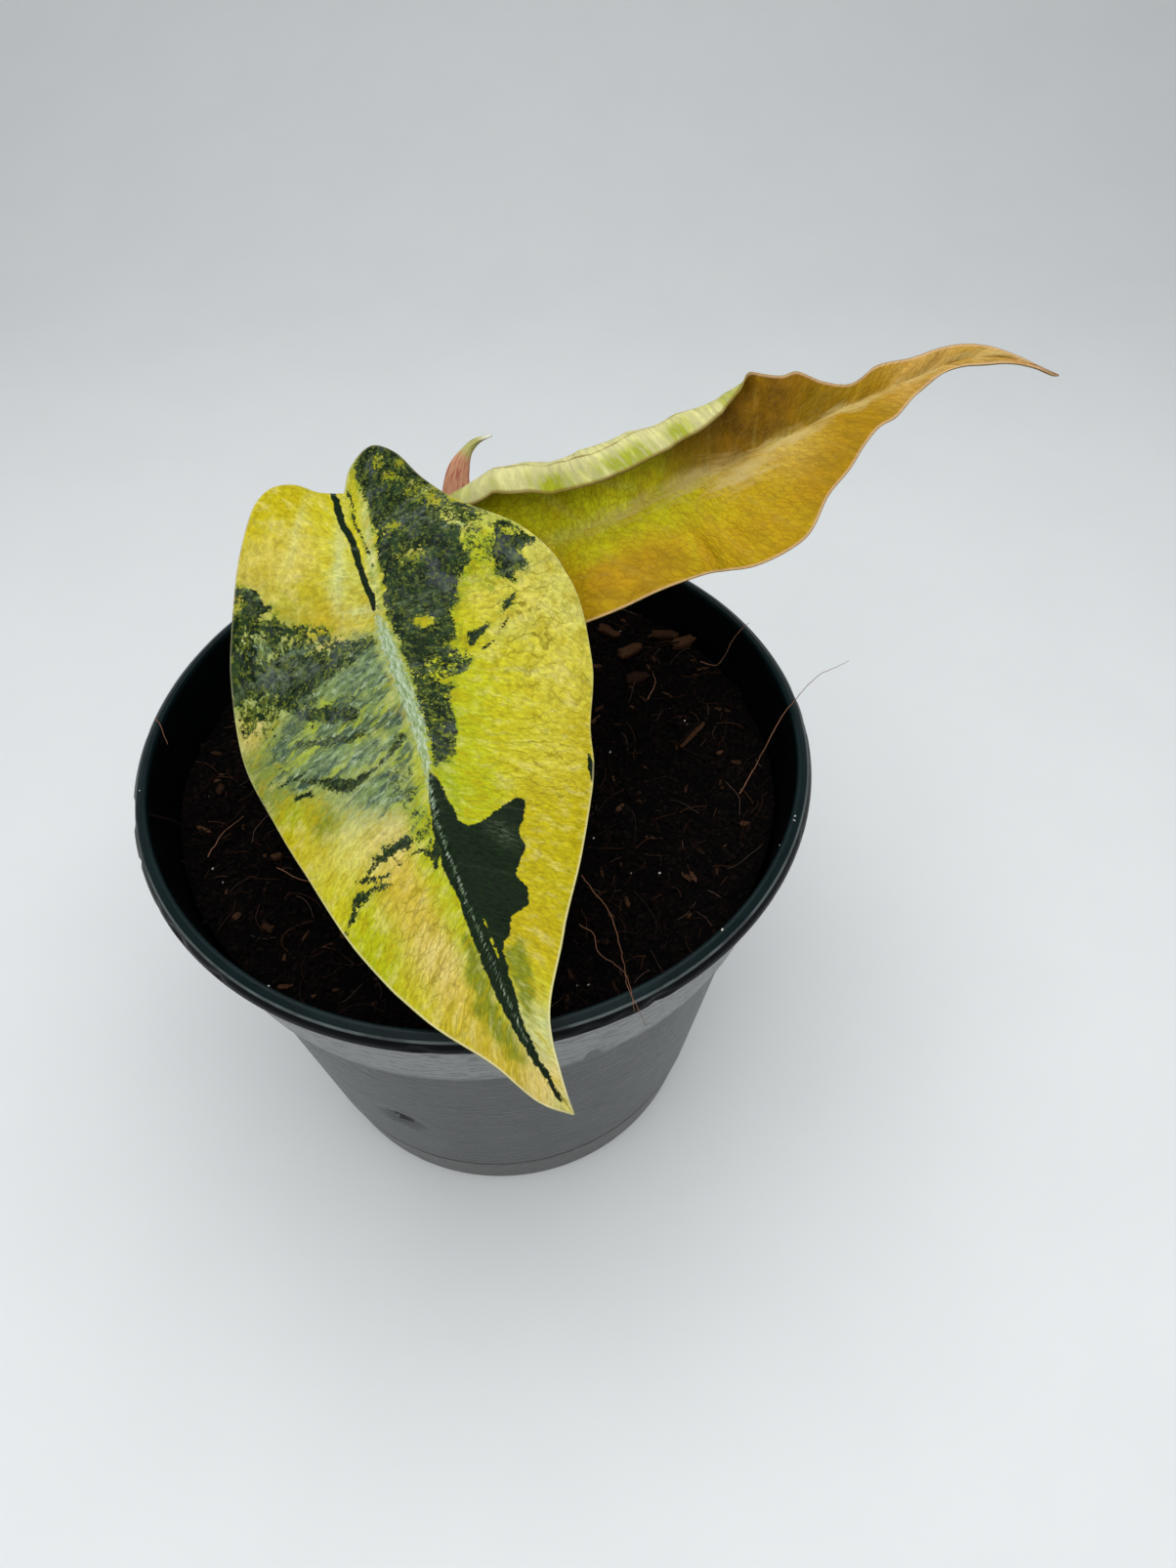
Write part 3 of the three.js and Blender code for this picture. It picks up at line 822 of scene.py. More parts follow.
def gap_to_line(u: Array, v: Array, start: Pair, end: Pair) -> tuple[Array, Array]:
    """How far places lie from a straight line between two points.

    Args:
        u: First coordinate of the places.
        v: Their second.
        start: The line's first point.
        end: Its last.

    Returns:
        The distances, and the share of the line's length at the nearest point.
    """
    along = np.subtract(end, start)
    length = max(float(along @ along), 1e-9)
    share = np.clip(((u - start[0]) * along[0] + (v - start[1]) * along[1]) / length, 0.0, 1.0)
    return np.hypot(u - start[0] - share * along[0], v - start[1] - share * along[1]), share


# Leaf blades

@dataclass(frozen=True)
class Half:
    """One half of a blade. A margin point is (u, v, s), where s is where its side vein leaves the midrib."""

    margin: tuple[Triple, ...]
    columns: int

    def samples(self) -> Array:
        """Close points along the margin, as rows of u, v and s."""
        path = SmoothPath(self.margin, 0.5)
        steps = np.arange(40 * (len(self.margin) - 1) + 1) / 40
        return path.at(np.interp(steps, np.arange(len(path.knots)), path.knots))[0]


class Lattice(NamedTuple):
    """Places on a blade: across u, along v and side vein s, in mm, and the share of the way out."""

    u: Array
    v: Array
    s: Array
    share: Array

    def picked(self, *picks: Array | slice) -> "Lattice":
        """The places in some of the rows and columns."""
        return Lattice(*(values[picks] for values in self))

    @staticmethod
    def joined(parts: Sequence["Lattice"]) -> "Lattice":
        """All places of several lattices in one row."""
        return Lattice(*(np.concatenate([values.ravel() for values in same]) for same in zip(*parts)))


@dataclass
class Blade:
    """A leaf blade in its own coordinates: v along the midrib from the stalk to the tip, u across it."""

    name: str
    node: str
    slot: str
    midrib: tuple[Triple, ...]
    stalk_index: int
    right: Half
    left: Half
    vein_spacing: float
    vein_relief: float
    ridge_height: float
    ridge_half_width: float
    midrib_relief: tuple[Triple, ...]
    groove: Pair
    pillow: tuple[float, float, int]
    pattern: "FrontPattern | BackPattern"
    finishes: tuple["VariegatedFinish | BronzeFinish", "UndersideFinish | SheathUndersideFinish"]
    rows: int = 300
    upper_rise: float = 0.3
    lower_drop: float = 0.25
    edge_half_thickness: float = 0.14
    edge_taper: float = 2.2

    def __post_init__(self) -> None:
        """Works out the midrib, the margins and which way the upper face looks."""
        self.axis = SmoothPath(self.midrib, 1.0, self.stalk_index)
        self.margins = {1: self.right.samples(), -1: self.left.samples()}
        self.tip = self.right.margin[-1][1]
        self.upward = 1.0
        self.upward = float(np.sign(self.normal(np.zeros(1), np.zeros(1))[0, 2]))

    def surface(self, u: Array, v: Array) -> Array:
        """Points of the blade's middle surface, in mm."""
        raise NotImplementedError

    def normal(self, u: Array, v: Array, step: float = 0.2) -> Array:
        """Unit normals of the middle surface, on the upper face's side.

        Args:
            u: The places' first coordinate, in mm.
            v: Their second.
            step: How far apart it is measured, in mm.

        Returns:
            A vector for each place.
        """
        across = self.surface(u + step, v) - self.surface(u - step, v)
        along = self.surface(u, v + step) - self.surface(u, v - step)
        return unit(np.cross(across, along)) * self.upward

    def _stations(self) -> Array:
        """Places on the midrib for the rows: half of each step by the midrib, half by the margins."""
        first, last = self.right.margin[0][2], self.right.margin[-1][2]
        s = np.linspace(first, last, 4000)
        walked = np.zeros(len(s))
        for samples in self.margins.values():
            edge = np.stack([np.interp(s, samples[:, 2], samples[:, k]) for k in (0, 1)], axis=-1)
            walked[1:] += np.cumsum(np.linalg.norm(np.diff(edge, axis=0), axis=1))
        pace = walked / walked[-1] + (s - first) / (last - first)
        return np.interp(np.linspace(0.0, 2.0, self.rows + 1), pace, s)

    def lattice(self) -> Lattice:
        """The blade's places, row by row from the notch to the tip and from left to right."""
        s = self._stations()[:, None]
        columns = np.arange(-self.left.columns, self.right.columns + 1)[None]
        share = np.where(columns < 0, -columns / self.left.columns, columns / self.right.columns)
        u, v = np.zeros((2, len(s), columns.size))
        for side, samples in self.margins.items():
            chosen = (columns[0] >= 0) if side > 0 else (columns[0] < 0)
            margin_u, margin_v = (np.interp(s, samples[:, 2], samples[:, k]) for k in (0, 1))
            u[:, chosen] = margin_u * share[:, chosen]
            v[:, chosen] = s + (margin_v - s) * share[:, chosen]
        return Lattice(u, v, np.broadcast_to(s, u.shape), np.broadcast_to(share, u.shape))

    def to_margin(self, place: Lattice) -> Array:
        """The distance to the blade's margin.

        Args:
            place: Places on the blade.

        Returns:
            The distance from each, in mm.
        """
        nearest = np.full(place.u.shape, np.inf)
        for side, samples in self.margins.items():
            chosen = (place.u >= -2.0) if side > 0 else (place.u <= 2.0)
            corners = samples[::4, :2]
            for start, end in zip(corners[:-1], corners[1:]):
                gap = gap_to_line(place.u[chosen], place.v[chosen], start, end)[0]
                nearest[chosen] = np.minimum(nearest[chosen], gap)
        return nearest

    def off_vein(self, place: Lattice) -> Array:
        """How far each place lies from the nearest side vein, in mm."""
        turn = place.s / self.vein_spacing
        return (turn - np.round(turn)) * self.vein_spacing

    def relief(self, place: Lattice) -> Array:
        """The quilting between the side veins and the margin's small waves.

        Args:
            place: Places on the blade.

        Returns:
            For each its height over the middle surface, in mm.
        """
        wave = 0.5 - 0.5 * np.cos(2 * math.pi * place.s / self.vein_spacing)
        ripple = lattice_noise(place.s + 50.0 * np.sign(place.u), place.s * 0.0, 5.0, 5)
        return self.vein_relief * wave * np.sin(math.pi * place.share) + 0.28 * place.share**6 * ripple

    def upper_detail(self, place: Lattice) -> Array:
        """The midrib, the sunken side veins and the small pillows of the upper face.

        Args:
            place: Places on the blade.

        Returns:
            For each the height of all these, in mm.
        """
        fade = np.clip((self.tip - place.v) / 60.0, 0.0, 1.0)
        midrib = sum(height * bell(abs(place.u) - away, width) for height, away, width in self.midrib_relief)
        depth, width = self.groove
        groove = depth * bell(self.off_vein(place), width) * np.sin(math.pi * place.share) ** 0.5
        height, size, seed = self.pillow
        return fade * midrib - groove + height * layered_noise(place.u, place.v, size, 2, seed)

    def lower_detail(self, place: Lattice) -> Array:
        """The raised veins of the underside.

        Args:
            place: Places on the blade.

        Returns:
            For each their height, in mm.
        """
        taper = np.clip(1.0 - place.v / self.tip, 0.0, 1.0)
        midrib = self.ridge_height * taper * bell(place.u, self.ridge_half_width)
        return midrib + 0.3 * bell(self.off_vein(place), 0.7) * (1.0 - place.share) ** 0.6

    def build(self) -> Piece:
        """Makes the blade: a fine upper face, a rounded rim and a coarser underside."""
        upper = self.lattice()
        rows, columns = upper.u.shape
        last = rows - 1
        poles = upper.picked(np.array([0, last]), self.left.columns)
        rim_rows = np.concatenate([np.arange(last + 1), np.arange(last - 1, 0, -1)])
        rim_columns = np.repeat([0, columns - 1], [last + 1, last - 1])
        lower = upper.picked(slice(2, last, 2), slice(0, columns, 2))
        parts = [upper.picked(slice(1, last)), poles, upper.picked(rim_rows, rim_columns), lower, poles]
        counts = [part.u.size for part in parts]
        place = Lattice.joined(parts)
        to_rim = self.to_margin(place)
        points = self._points(place, np.repeat([1, 1, 0, -1, -1], counts), to_rim)

        numbers = np.split(np.arange(len(points)), np.cumsum(counts)[:-1])
        top, low = (
            np.vstack([np.full(grid[1], ends[0]), inner.reshape(grid), np.full(grid[1], ends[1])])
            for inner, ends, grid in (
                (numbers[0], numbers[1], (last - 1, columns)),
                (numbers[3], numbers[4], lower.u.shape),
            )
        )
        upper_faces, other_faces = self._faces(top, low, numbers[2])
        made = add_mesh(self.name, points, upper_faces + other_faces)
        sizes = [sum(map(len, faces)) for faces in (upper_faces, other_faces)]
        made.data.polygons.foreach_set("material_index", np.repeat([0, 1], sizes).astype(np.int32))
        zero = np.zeros_like(place.u)
        out = np.hypot(place.u, place.v - place.s) * np.where(place.u < 0, -1.0, 1.0)
        readings = {
            "place": np.stack([place.u, place.v, zero], axis=-1),
            "veins": np.stack([out, place.s, zero], axis=-1),
            "station": place.s + 210.0,
            "rim": to_rim,
            **self.pattern.read(place),
        }
        for key, values in readings.items():
            store(made, key, values)
        return made

    def _points(self, place: Lattice, face: Array, rim: Array) -> Array:
        """The blade's vertices, with the rim's middle line pushed out a little so that it is round.

        Args:
            place: Their places on the blade.
            face: 1 on the upper face, 0 on the rim, -1 on the underside.
            rim: Their distances to the margin.

        Returns:
            Rows of three coordinates, in mm.
        """
        full = smooth_step(0.0, self.edge_taper, rim)
        rise, drop = (
            self.edge_half_thickness + (whole - self.edge_half_thickness) * full
            for whole in (self.upper_rise, self.lower_drop)
        )
        height = self.relief(place)
        height += np.where(face > 0, rise + self.upper_detail(place) * full, 0.0)
        height -= np.where(face < 0, drop + self.lower_detail(place) * full, 0.0)
        points = self.surface(place.u, place.v) + self.normal(place.u, place.v) * height[:, None]
        ring = points[face == 0]
        along = unit(np.roll(ring, -1, axis=0) - np.roll(ring, 1, axis=0))
        away = ring - ring.mean(axis=0)
        away -= along * np.einsum("ij,ij->i", away, along)[:, None]
        points[face == 0] += 0.1 * unit(away)
        return points

    @staticmethod
    def _faces(top: Array, low: Array, middle: Array) -> tuple[list[Array], list[Array]]:
        """The blade's faces.

        Args:
            top: Vertex numbers of the upper face, by row and column.
            low: Vertex numbers of the underside, by every second row and column.
            middle: Vertex numbers of the rim, once round from the notch down the left margin.

        Returns:
            The faces of the upper face and those of the rest, each as quads and triangles.
        """
        grids, rings = [], []
        for index in (top, low):
            inner = np.stack([index[1:-2, :-1], index[1:-2, 1:], index[2:-1, 1:], index[2:-1, :-1]], axis=-1)
            first = np.stack([index[0, :-1], index[1, 1:], index[1, :-1]], axis=-1)
            final = np.stack([index[-2, :-1], index[-2, 1:], index[-1, 1:]], axis=-1)
            grids.append((inner.reshape(-1, 4), np.vstack([first, final])))
            rings.append(np.concatenate([index[:, 0], index[-2:0:-1, -1]]))
        edge, base = rings
        rim = np.stack([edge, np.roll(edge, -1), np.roll(middle, -1), middle], axis=-1)
        near, half, far, following = middle[0::2], middle[1::2], np.roll(middle[0::2], -1), np.roll(base, -1)
        strips = ((near, half, base), (half, following, base), (half, far, following))
        strip = np.vstack([np.stack(corners, axis=-1) for corners in strips])
        quads, triangles = (part[:, ::-1] for part in grids[1])
        return list(grids[0]), [np.vstack([rim, quads]), np.vstack([strip, triangles])]

    def dressed(self) -> Piece:
        """Builds the blade, paints it and settles it in place of its CAD node."""
        made = self.build()
        paint(made, *(finish.material() for finish in self.finishes))
        settle(made, self.slot, self.node)
        return made


@dataclass
class FrontBlade(Blade):
    """The large front blade: it hangs forwards over the rim, and each half droops on an arc."""

    right_arc: float = 62.0
    left_arc: float = 75.0

    def surface(self, u: Array, v: Array) -> Array:
        """Points of the blade's middle surface.

        Args:
            u: The places' first coordinate, in mm.
            v: Their second.

        Returns:
            A point for each place, in mm.
        """
        point, tangent = self.axis.at(v)
        side = unit(np.array([1.0, 0.0, 0.0]) - tangent * tangent[..., :1])
        up = np.cross(tangent, side)
        radius = np.where(u > 0, self.right_arc, self.left_arc)
        out, down = radius * np.sin(u / radius), radius * (1.0 - np.cos(u / radius))
        return point + out[..., None] * side - down[..., None] * up


@dataclass
class BackBlade(Blade):
    """The young back blade: its lower half hangs to the front, its upper half stands and rolls inwards."""

    lower_droop: float = math.radians(15)
    lower_arc: float = 50.0
    upper_rise_angle: float = math.radians(50)
    upper_arc: float = 60.0
    roll_radius: float = 3.2
    roll_turn: float = 2.6
    roll_ends: Pair = (36.0, 44.0)
    roll_start: tuple[Pair, ...] = BACK_ROLL_START

    def surface(self, u: Array, v: Array) -> Array:
        """Points of the blade's middle surface.

        Args:
            u: The places' first coordinate, in mm.
            v: Their second.

        Returns:
            A point for each place, in mm.
        """
        point, tangent = self.axis.at(v)
        point = point.copy()
        front = unit(np.cross(tangent, np.array([0.0, 0.0, 1.0])))
        up = np.cross(front, tangent)
        start = read_table(self.roll_start, v)
        turn = self.roll_turn * (1.0 - smooth_step(*self.roll_ends, v))
        steps = 32
        across, side = np.abs(u) / steps, np.where(u > 0, 1.0, -1.0)
        for i in range(steps):
            along = (i + 0.5) * across
            roll = np.clip((along - start) / self.roll_radius, 0.0, turn)
            lower = self.lower_droop + along / self.lower_arc
            slope = np.where(u > 0, lower, self.upper_rise_angle + along / self.upper_arc + roll)
            point += (side * across * np.cos(slope))[..., None] * front
            point -= (side * across * np.sin(slope))[..., None] * up
        return point


# Leaf markings, in leaf coordinates and mm

class Hue(Enum):
    """The living colours of the two blades, as linear red, green and blue."""

    GOLD = (0.47, 0.40, 0.004)
    DEEP_GOLD = (0.46, 0.35, 0.003)
    OCHRE = (0.47, 0.38, 0.006)
    SAND = (0.55, 0.465, 0.08)
    LIME = (0.40, 0.44, 0.004)
    DEEP_LIME = (0.27, 0.36, 0.006)
    YELLOW = (0.51, 0.48, 0.012)
    BUTTER = (0.57, 0.51, 0.05)
    CREAM = (0.61, 0.57, 0.11)
    PALE_LIME = (0.50, 0.51, 0.10)
    MINT = (0.47, 0.53, 0.26)
    PEACH = (0.66, 0.51, 0.15)
    DEEP_PEACH = (0.56, 0.42, 0.05)
    GREY_GREEN = (0.28, 0.35, 0.12)
    OLIVE = (0.15, 0.19, 0.006)
    MOSS = (0.22, 0.235, 0.012)
    # Brightened to paint the glow of light through the young blade where it lies in shade.
    YOUNG_GREEN_WITH_PAINTED_GLOW = (0.36, 0.345, 0.003)
    OLIVE_GOLD = (0.40, 0.32, 0.004)
    BRONZE = (0.36, 0.235, 0.002)
    COPPER = (0.30, 0.170, 0.002)
    RUST = (0.110, 0.052, 0.001)
    UMBER = (0.175, 0.102, 0.002)
    # A lime brightened into a painted glow of light through the blade under its roll.
    LIME_WITH_PAINTED_GLOW = (0.50, 0.50, 0.005)
    HONEY = (0.42, 0.29, 0.04)
    TAN = (0.42, 0.255, 0.055)
    PINK_TAN = (0.40, 0.19, 0.10)


@dataclass(frozen=True)
class Oval:
    """A soft oval: its middle, how far it reaches along u and v, its strength and its turn in degrees."""

    u: float
    v: float
    reach_u: float
    reach_v: float
    strength: float = 1.0
    turn: float = 0.0

    def radius(self, u: Array, v: Array) -> Array:
        """The distance from its middle.

        Args:
            u: The places' first coordinate, in mm.
            v: Their second.

        Returns:
            The distance of each, where 1 is the oval's reach.
        """
        cos, sin = math.cos(math.radians(self.turn)), math.sin(math.radians(self.turn))
        x, y = u - self.u, v - self.v
        return np.hypot((x * cos + y * sin) / self.reach_u, (y * cos - x * sin) / self.reach_v)

    def share(self, u: Array, v: Array) -> Array:
        """Its strength at each place, which fades out softly."""
        return self.strength * np.exp(-self.radius(u, v) ** 2)


Ovals = tuple[tuple[float, ...], ...]
Tints = tuple[tuple[Hue, Ovals], ...]


@dataclass(frozen=True)
class Grain:
    """An oval where dark and pale are mixed in specks: how dark it is, and how coarse and torn the specks."""

    u: float
    v: float
    reach_u: float
    reach_v: float
    level: float
    rag: float

    def share(self, u: Array, v: Array) -> Array:
        """How far it governs each place, from 0 to 1."""
        return 1.0 - smooth_step(0.7, 1.3, np.hypot((u - self.u) / self.reach_u, (v - self.v) / self.reach_v))


@dataclass(frozen=True)
class Patch:
    """A marking with a closed outline of (u, v) points, and how torn its edge is."""

    outline: tuple[Pair, ...]
    rag: float = 0.5

    def depth(self, u: Array, v: Array) -> Array:
        """How far inside it places lie.

        Args:
            u: The places' first coordinate, in mm.
            v: Their second.

        Returns:
            The distance of each from its outline, in mm, negative outside.
        """
        inside, nearest = np.zeros(u.shape, bool), np.full(u.shape, np.inf)
        for (u0, v0), (u1, v1) in zip(self.outline, self.outline[1:] + self.outline[:1]):
            nearest = np.minimum(nearest, gap_to_line(u, v, (u0, v0), (u1, v1))[0])
            if v0 != v1:
                inside ^= ((v0 > v) != (v1 > v)) & (u < u0 + (v - v0) * (u1 - u0) / (v1 - v0))
        return np.where(inside, nearest, -nearest)


@dataclass(frozen=True)
class Stroke:
    """A marking drawn along (u, v, width) points, and how torn its edge is."""

    points: tuple[Triple, ...]
    rag: float = 0.5

    def depth(self, u: Array, v: Array) -> Array:
        """How far inside it places lie.

        Args:
            u: The places' first coordinate, in mm.
            v: Their second.

        Returns:
            The distance of each from its edge, in mm, negative outside.
        """
        best = np.full(u.shape, -np.inf)
        for start, end in zip(self.points[:-1], self.points[1:]):
            gap, share = gap_to_line(u, v, start[:2], end[:2])
            best = np.maximum(best, (start[2] + (end[2] - start[2]) * share) / 2 - gap)
        return best


def clouded(ground: Tints, accents: Tints, u: Array, v: Array) -> Array:
    """An even blend of soft tints, with others laid over it one after another.

    Args:
        ground: The tints that are blended.
        accents: Those laid over them.
        u: The places' first coordinate, in mm.
        v: Their second.

    Returns:
        For each place its red, green and blue.
    """
    blend = [(hue.value, Oval(*row).share(u, v) + 1e-7) for hue, rows in ground for row in rows]
    weights = np.stack([share for _, share in blend])
    colours = np.array([colour for colour, _ in blend])
    made = np.einsum("tn,tc->nc", weights, colours) / weights.sum(axis=0)[:, None]
    for hue, rows in accents:
        for row in rows:
            made = made + (np.array(hue.value) - made) * Oval(*row).share(u, v)[:, None]
    return made


def strongest(rows: Ovals, u: Array, v: Array) -> Array:
    """The strength of the strongest oval at each place, from 0 to 1."""
    return np.max(np.stack([Oval(*row).share(u, v) for row in rows]), axis=0)


@dataclass(frozen=True)
class FrontPattern:
    """The front blade's variegation, with some glossy patches painted as sheen in its silver zones."""

    edge_wobble: tuple[Pair, ...] = ((2.6, 0.20), (0.9, 0.12))
    ground: Tints = (
        (Hue.GOLD, (
            (-9, -24, 6, 4), (-14, -20, 5, 4), (-13, -6, 5, 2.6, 1.3), (16, 40, 5, 6, 1.2),
            (12, 50, 4, 6, 1.2), (-21, 31, 4, 4),
        )),
        (Hue.SAND, ((-17, -13, 5, 4, 1.2), (-10, -14, 5, 4, 0.8), (-19, -9, 4, 3))),
        (Hue.DEEP_GOLD, ((-8, -1.5, 5, 2.4, 1.4),)),
        (Hue.YELLOW, (
            (-4, -15, 3, 6, 0.8), (1.5, -14, 2, 8, 1.6), (15, 14, 6, 5), (14, 25, 6, 6), (4, 64, 2.6, 4),
            (-19, 40, 4, 4, 1.2), (-12, 58, 3, 5),
        )),
        (Hue.PALE_LIME, ((-3, -5, 2.6, 4), (18, -14, 4, 4))),
        (Hue.MOSS, ((9, -24, 6, 6, 1.4), (8, -9, 4, 6, 1.2))),
        (Hue.LIME, (
            (20, -6, 4, 4, 0.8), (8, 16, 5, 6, 1.2), (5, 28, 4, 7, 1.4), (-15, 49, 4, 6, 1.2),
            (-3.2, 45, 2.4, 12, 1.4), (-3, 60, 2, 6),
        )),
        (Hue.CREAM, ((28, 4, 5, 8, 1.2), (-15, 35, 5, 3.5, 1.2))),
        (Hue.BUTTER, ((23, 2, 4, 5), (24, 17, 6, 7, 1.2), (19, 30, 5, 5))),
        (Hue.OCHRE, ((24, 28, 3, 6, 1.2), (20, 39, 3, 5, 1.2), (8, 57, 4, 5, 1.2), (-9, 65, 3, 4, 1.2))),
        (Hue.MINT, ((2, 70, 2.5, 5, 1.2),)),
        (Hue.PEACH, ((0.5, 77, 2.5, 4, 1.2), (-9.5, 35, 3.5, 3.5, 1.3), (-8, 55, 3.2, 5, 1.4))),
        (Hue.DEEP_PEACH, ((-5, 69, 4, 4), (-9, 46, 3.6, 6, 1.4), (-7, 61, 3, 4, 1.4))),
        (Hue.GREY_GREEN, ((-13, 15, 9, 8, 1.4), (-18, -3, 7, 4), (-10, 30, 5, 4, 1.3))),
        (Hue.OLIVE, ((-21, 17, 5, 6, 0.8),)),
    )
    accents: Tints = (
        (Hue.MINT, (
            (-3.4, -9.5, 1.0, 8.5, 0.55, 16), (-8.5, -17, 0.7, 7, 0.3, 24), (1.9, -11, 0.8, 11, 0.75, 6),
            (-2.5, -1.0, 3, 0.9, 0.5),
        )),
        (Hue.OCHRE, ((6.5, 4, 1.6, 1.2),)),
        (Hue.LIME, ((-5.4, 16.6, 2.6, 2.9, 0.95), (-12.5, 8.8, 4, 1.1, 0.7, -10))),
        (Hue.PEACH, ((-8.2, 1.9, 2.6, 0.9, 0.95, 8), (-25.4, 9.3, 2.6, 2.9, 0.95))),
        (Hue.OLIVE, ((-17.0, 29.6, 2.6, 2.6, 0.8, -20), (-18.5, 30.5, 1.5, 2.0, 0.55))),
        (Hue.DEEP_LIME, ((-22.4, 27, 3, 2.5, 0.6), (2.2, 28, 1.5, 7, 0.8), (4.6, 20.5, 2.2, 3.5, 0.55))),
        (Hue.LIME, ((12.5, -1.5, 5, 3, 0.35),)),
        (Hue.DEEP_LIME, ((-3.2, 34, 1.6, 6, 0.7),)),
        (Hue.MINT, (
            (17.3, -11.0, 1.3, 1.3, 0.8), (18.5, 9.0, 3.0, 2.2, 0.25), (-0.4, 79.5, 1.8, 2.2, 0.5),
        )),
        (Hue.CREAM, (
            (2.3, 72, 0.9, 6, 0.6, -8), (0.0, 82.0, 3.2, 2.6, 0.95), (-11.5, -12, 0.9, 11, 0.4, 32),
        )),
    )
    solid: tuple[Patch, ...] = (
        Patch((
            (2.6, -33.5), (3.1, -29.2), (2.6, -25.3), (3.2, -22), (3.0, -16), (3.2, -13), (2.8, -8),
            (2.5, -4), (1.9, -1.9), (1.5, 0.5), (1.5, 3), (1.7, 6), (1.8, 12), (1.7, 18), (1.4, 23),
            (1.0, 26.5), (2.4, 26.3), (3.4, 23.5), (4.4, 20), (4.8, 16.5), (4.6, 13.8), (6.4, 12.6),
            (9.2, 11.2), (8.0, 9.2), (10, 7.4), (10.4, 4.7), (12.7, 1.7), (13.6, -1), (14.8, -2.8),
            (16.6, -4.3), (16.6, -7.9), (17.2, -10), (15.1, -12.4), (14.2, -14.2), (13.6, -15.7),
            (14.2, -17.0), (13.0, -19.5), (13.2, -22.5), (13, -25), (11.5, -30), (9, -34),
        ), 1.5),
        Patch((
            (21.7, -10.3), (23.5, -11.6), (25, -10.3), (26.8, -8.2), (28, -6.7), (28, -5.6), (25.9, -5.2),
            (24.7, -4.7), (25.9, -2.5), (25, -1.6), (23.5, -1.4), (22.9, 0.2), (22, 0.2), (20.2, -1.3),
            (20.2, -4), (20.5, -7),
        ), 1.6),
        Patch((
            (-20.1, -11.1), (-18.3, -9.9), (-17, -9), (-16.8, -7.6), (-16, -6.3), (-16.2, -5.4),
            (-18, -5.2), (-18.3, -4), (-15.6, -4.2), (-15, -3.3), (-13.2, -2), (-12, -1.2), (-11.7, 0),
            (-11.1, 1.2), (-10.2, 2), (-9, 2.3), (-6.6, 2.6), (-4.5, 3), (-3, 3.2), (-1.6, 3.4), (-1.6, 5),
            (-5, 5.6), (-8, 6.9), (-10.5, 7.8), (-13, 8.4), (-16, 8.6), (-17, 9.9), (-20, 9.6),
            (-22.5, 6.5), (-24, 5.5), (-30, 4), (-30, -12),
        ), 1.6),
    )
    grains: Ovals = (
        (6.8, -25, 4, 7, 1.3, 2.6), (12.8, -20.5, 4.0, 5.0, 0.25, 2.4), (18.0, -14.5, 4.8, 3.6, 0.15, 2.2),
        (18.6, -8.0, 2.6, 5, -0.25, 2.2), (17.0, 0.5, 3.0, 3.0, -1.0, 2.2), (7, -9, 3.6, 3.4, 1.5, 3.0),
        (7.5, 12.0, 4.6, 2.4, 0.35, 2.0), (3.4, 18.5, 2.4, 8, 0.5, 1.7), (-21.5, -2.0, 4.5, 3.5, 0.7, 2.6),
        (-13.5, 0.6, 7, 2.6, 0.2, 2.4), (-8, 4.8, 3.4, 2.2, 0.5, 2.2), (-22.5, 8.5, 5.5, 4.5, 0.0, 2.4),
        (-14, 11.5, 8.5, 2.8, -0.3, 2.4), (-20, 21, 6, 4, -0.9, 2.4), (-24.5, 15.5, 3, 5, -0.7, 2.4),
        (-4.6, 28, 3.2, 4.5, -0.25, 2.4), (-3.6, 35.5, 2.0, 5, -0.25, 2.2),
    )
    marble: Ovals = (
        (-11, 9.5, 9, 4), (-13, 15, 12, 5), (-14, 21, 11, 4, 0.95), (-4.0, 9, 2.6, 8, 0.9),
        (-3.5, 21, 2.6, 7, 0.75), (-8, 28, 6, 4, 0.8), (-19, -0.6, 5, 1.6, 0.7), (-14, 1.6, 6, 1.4, 0.7),
    )
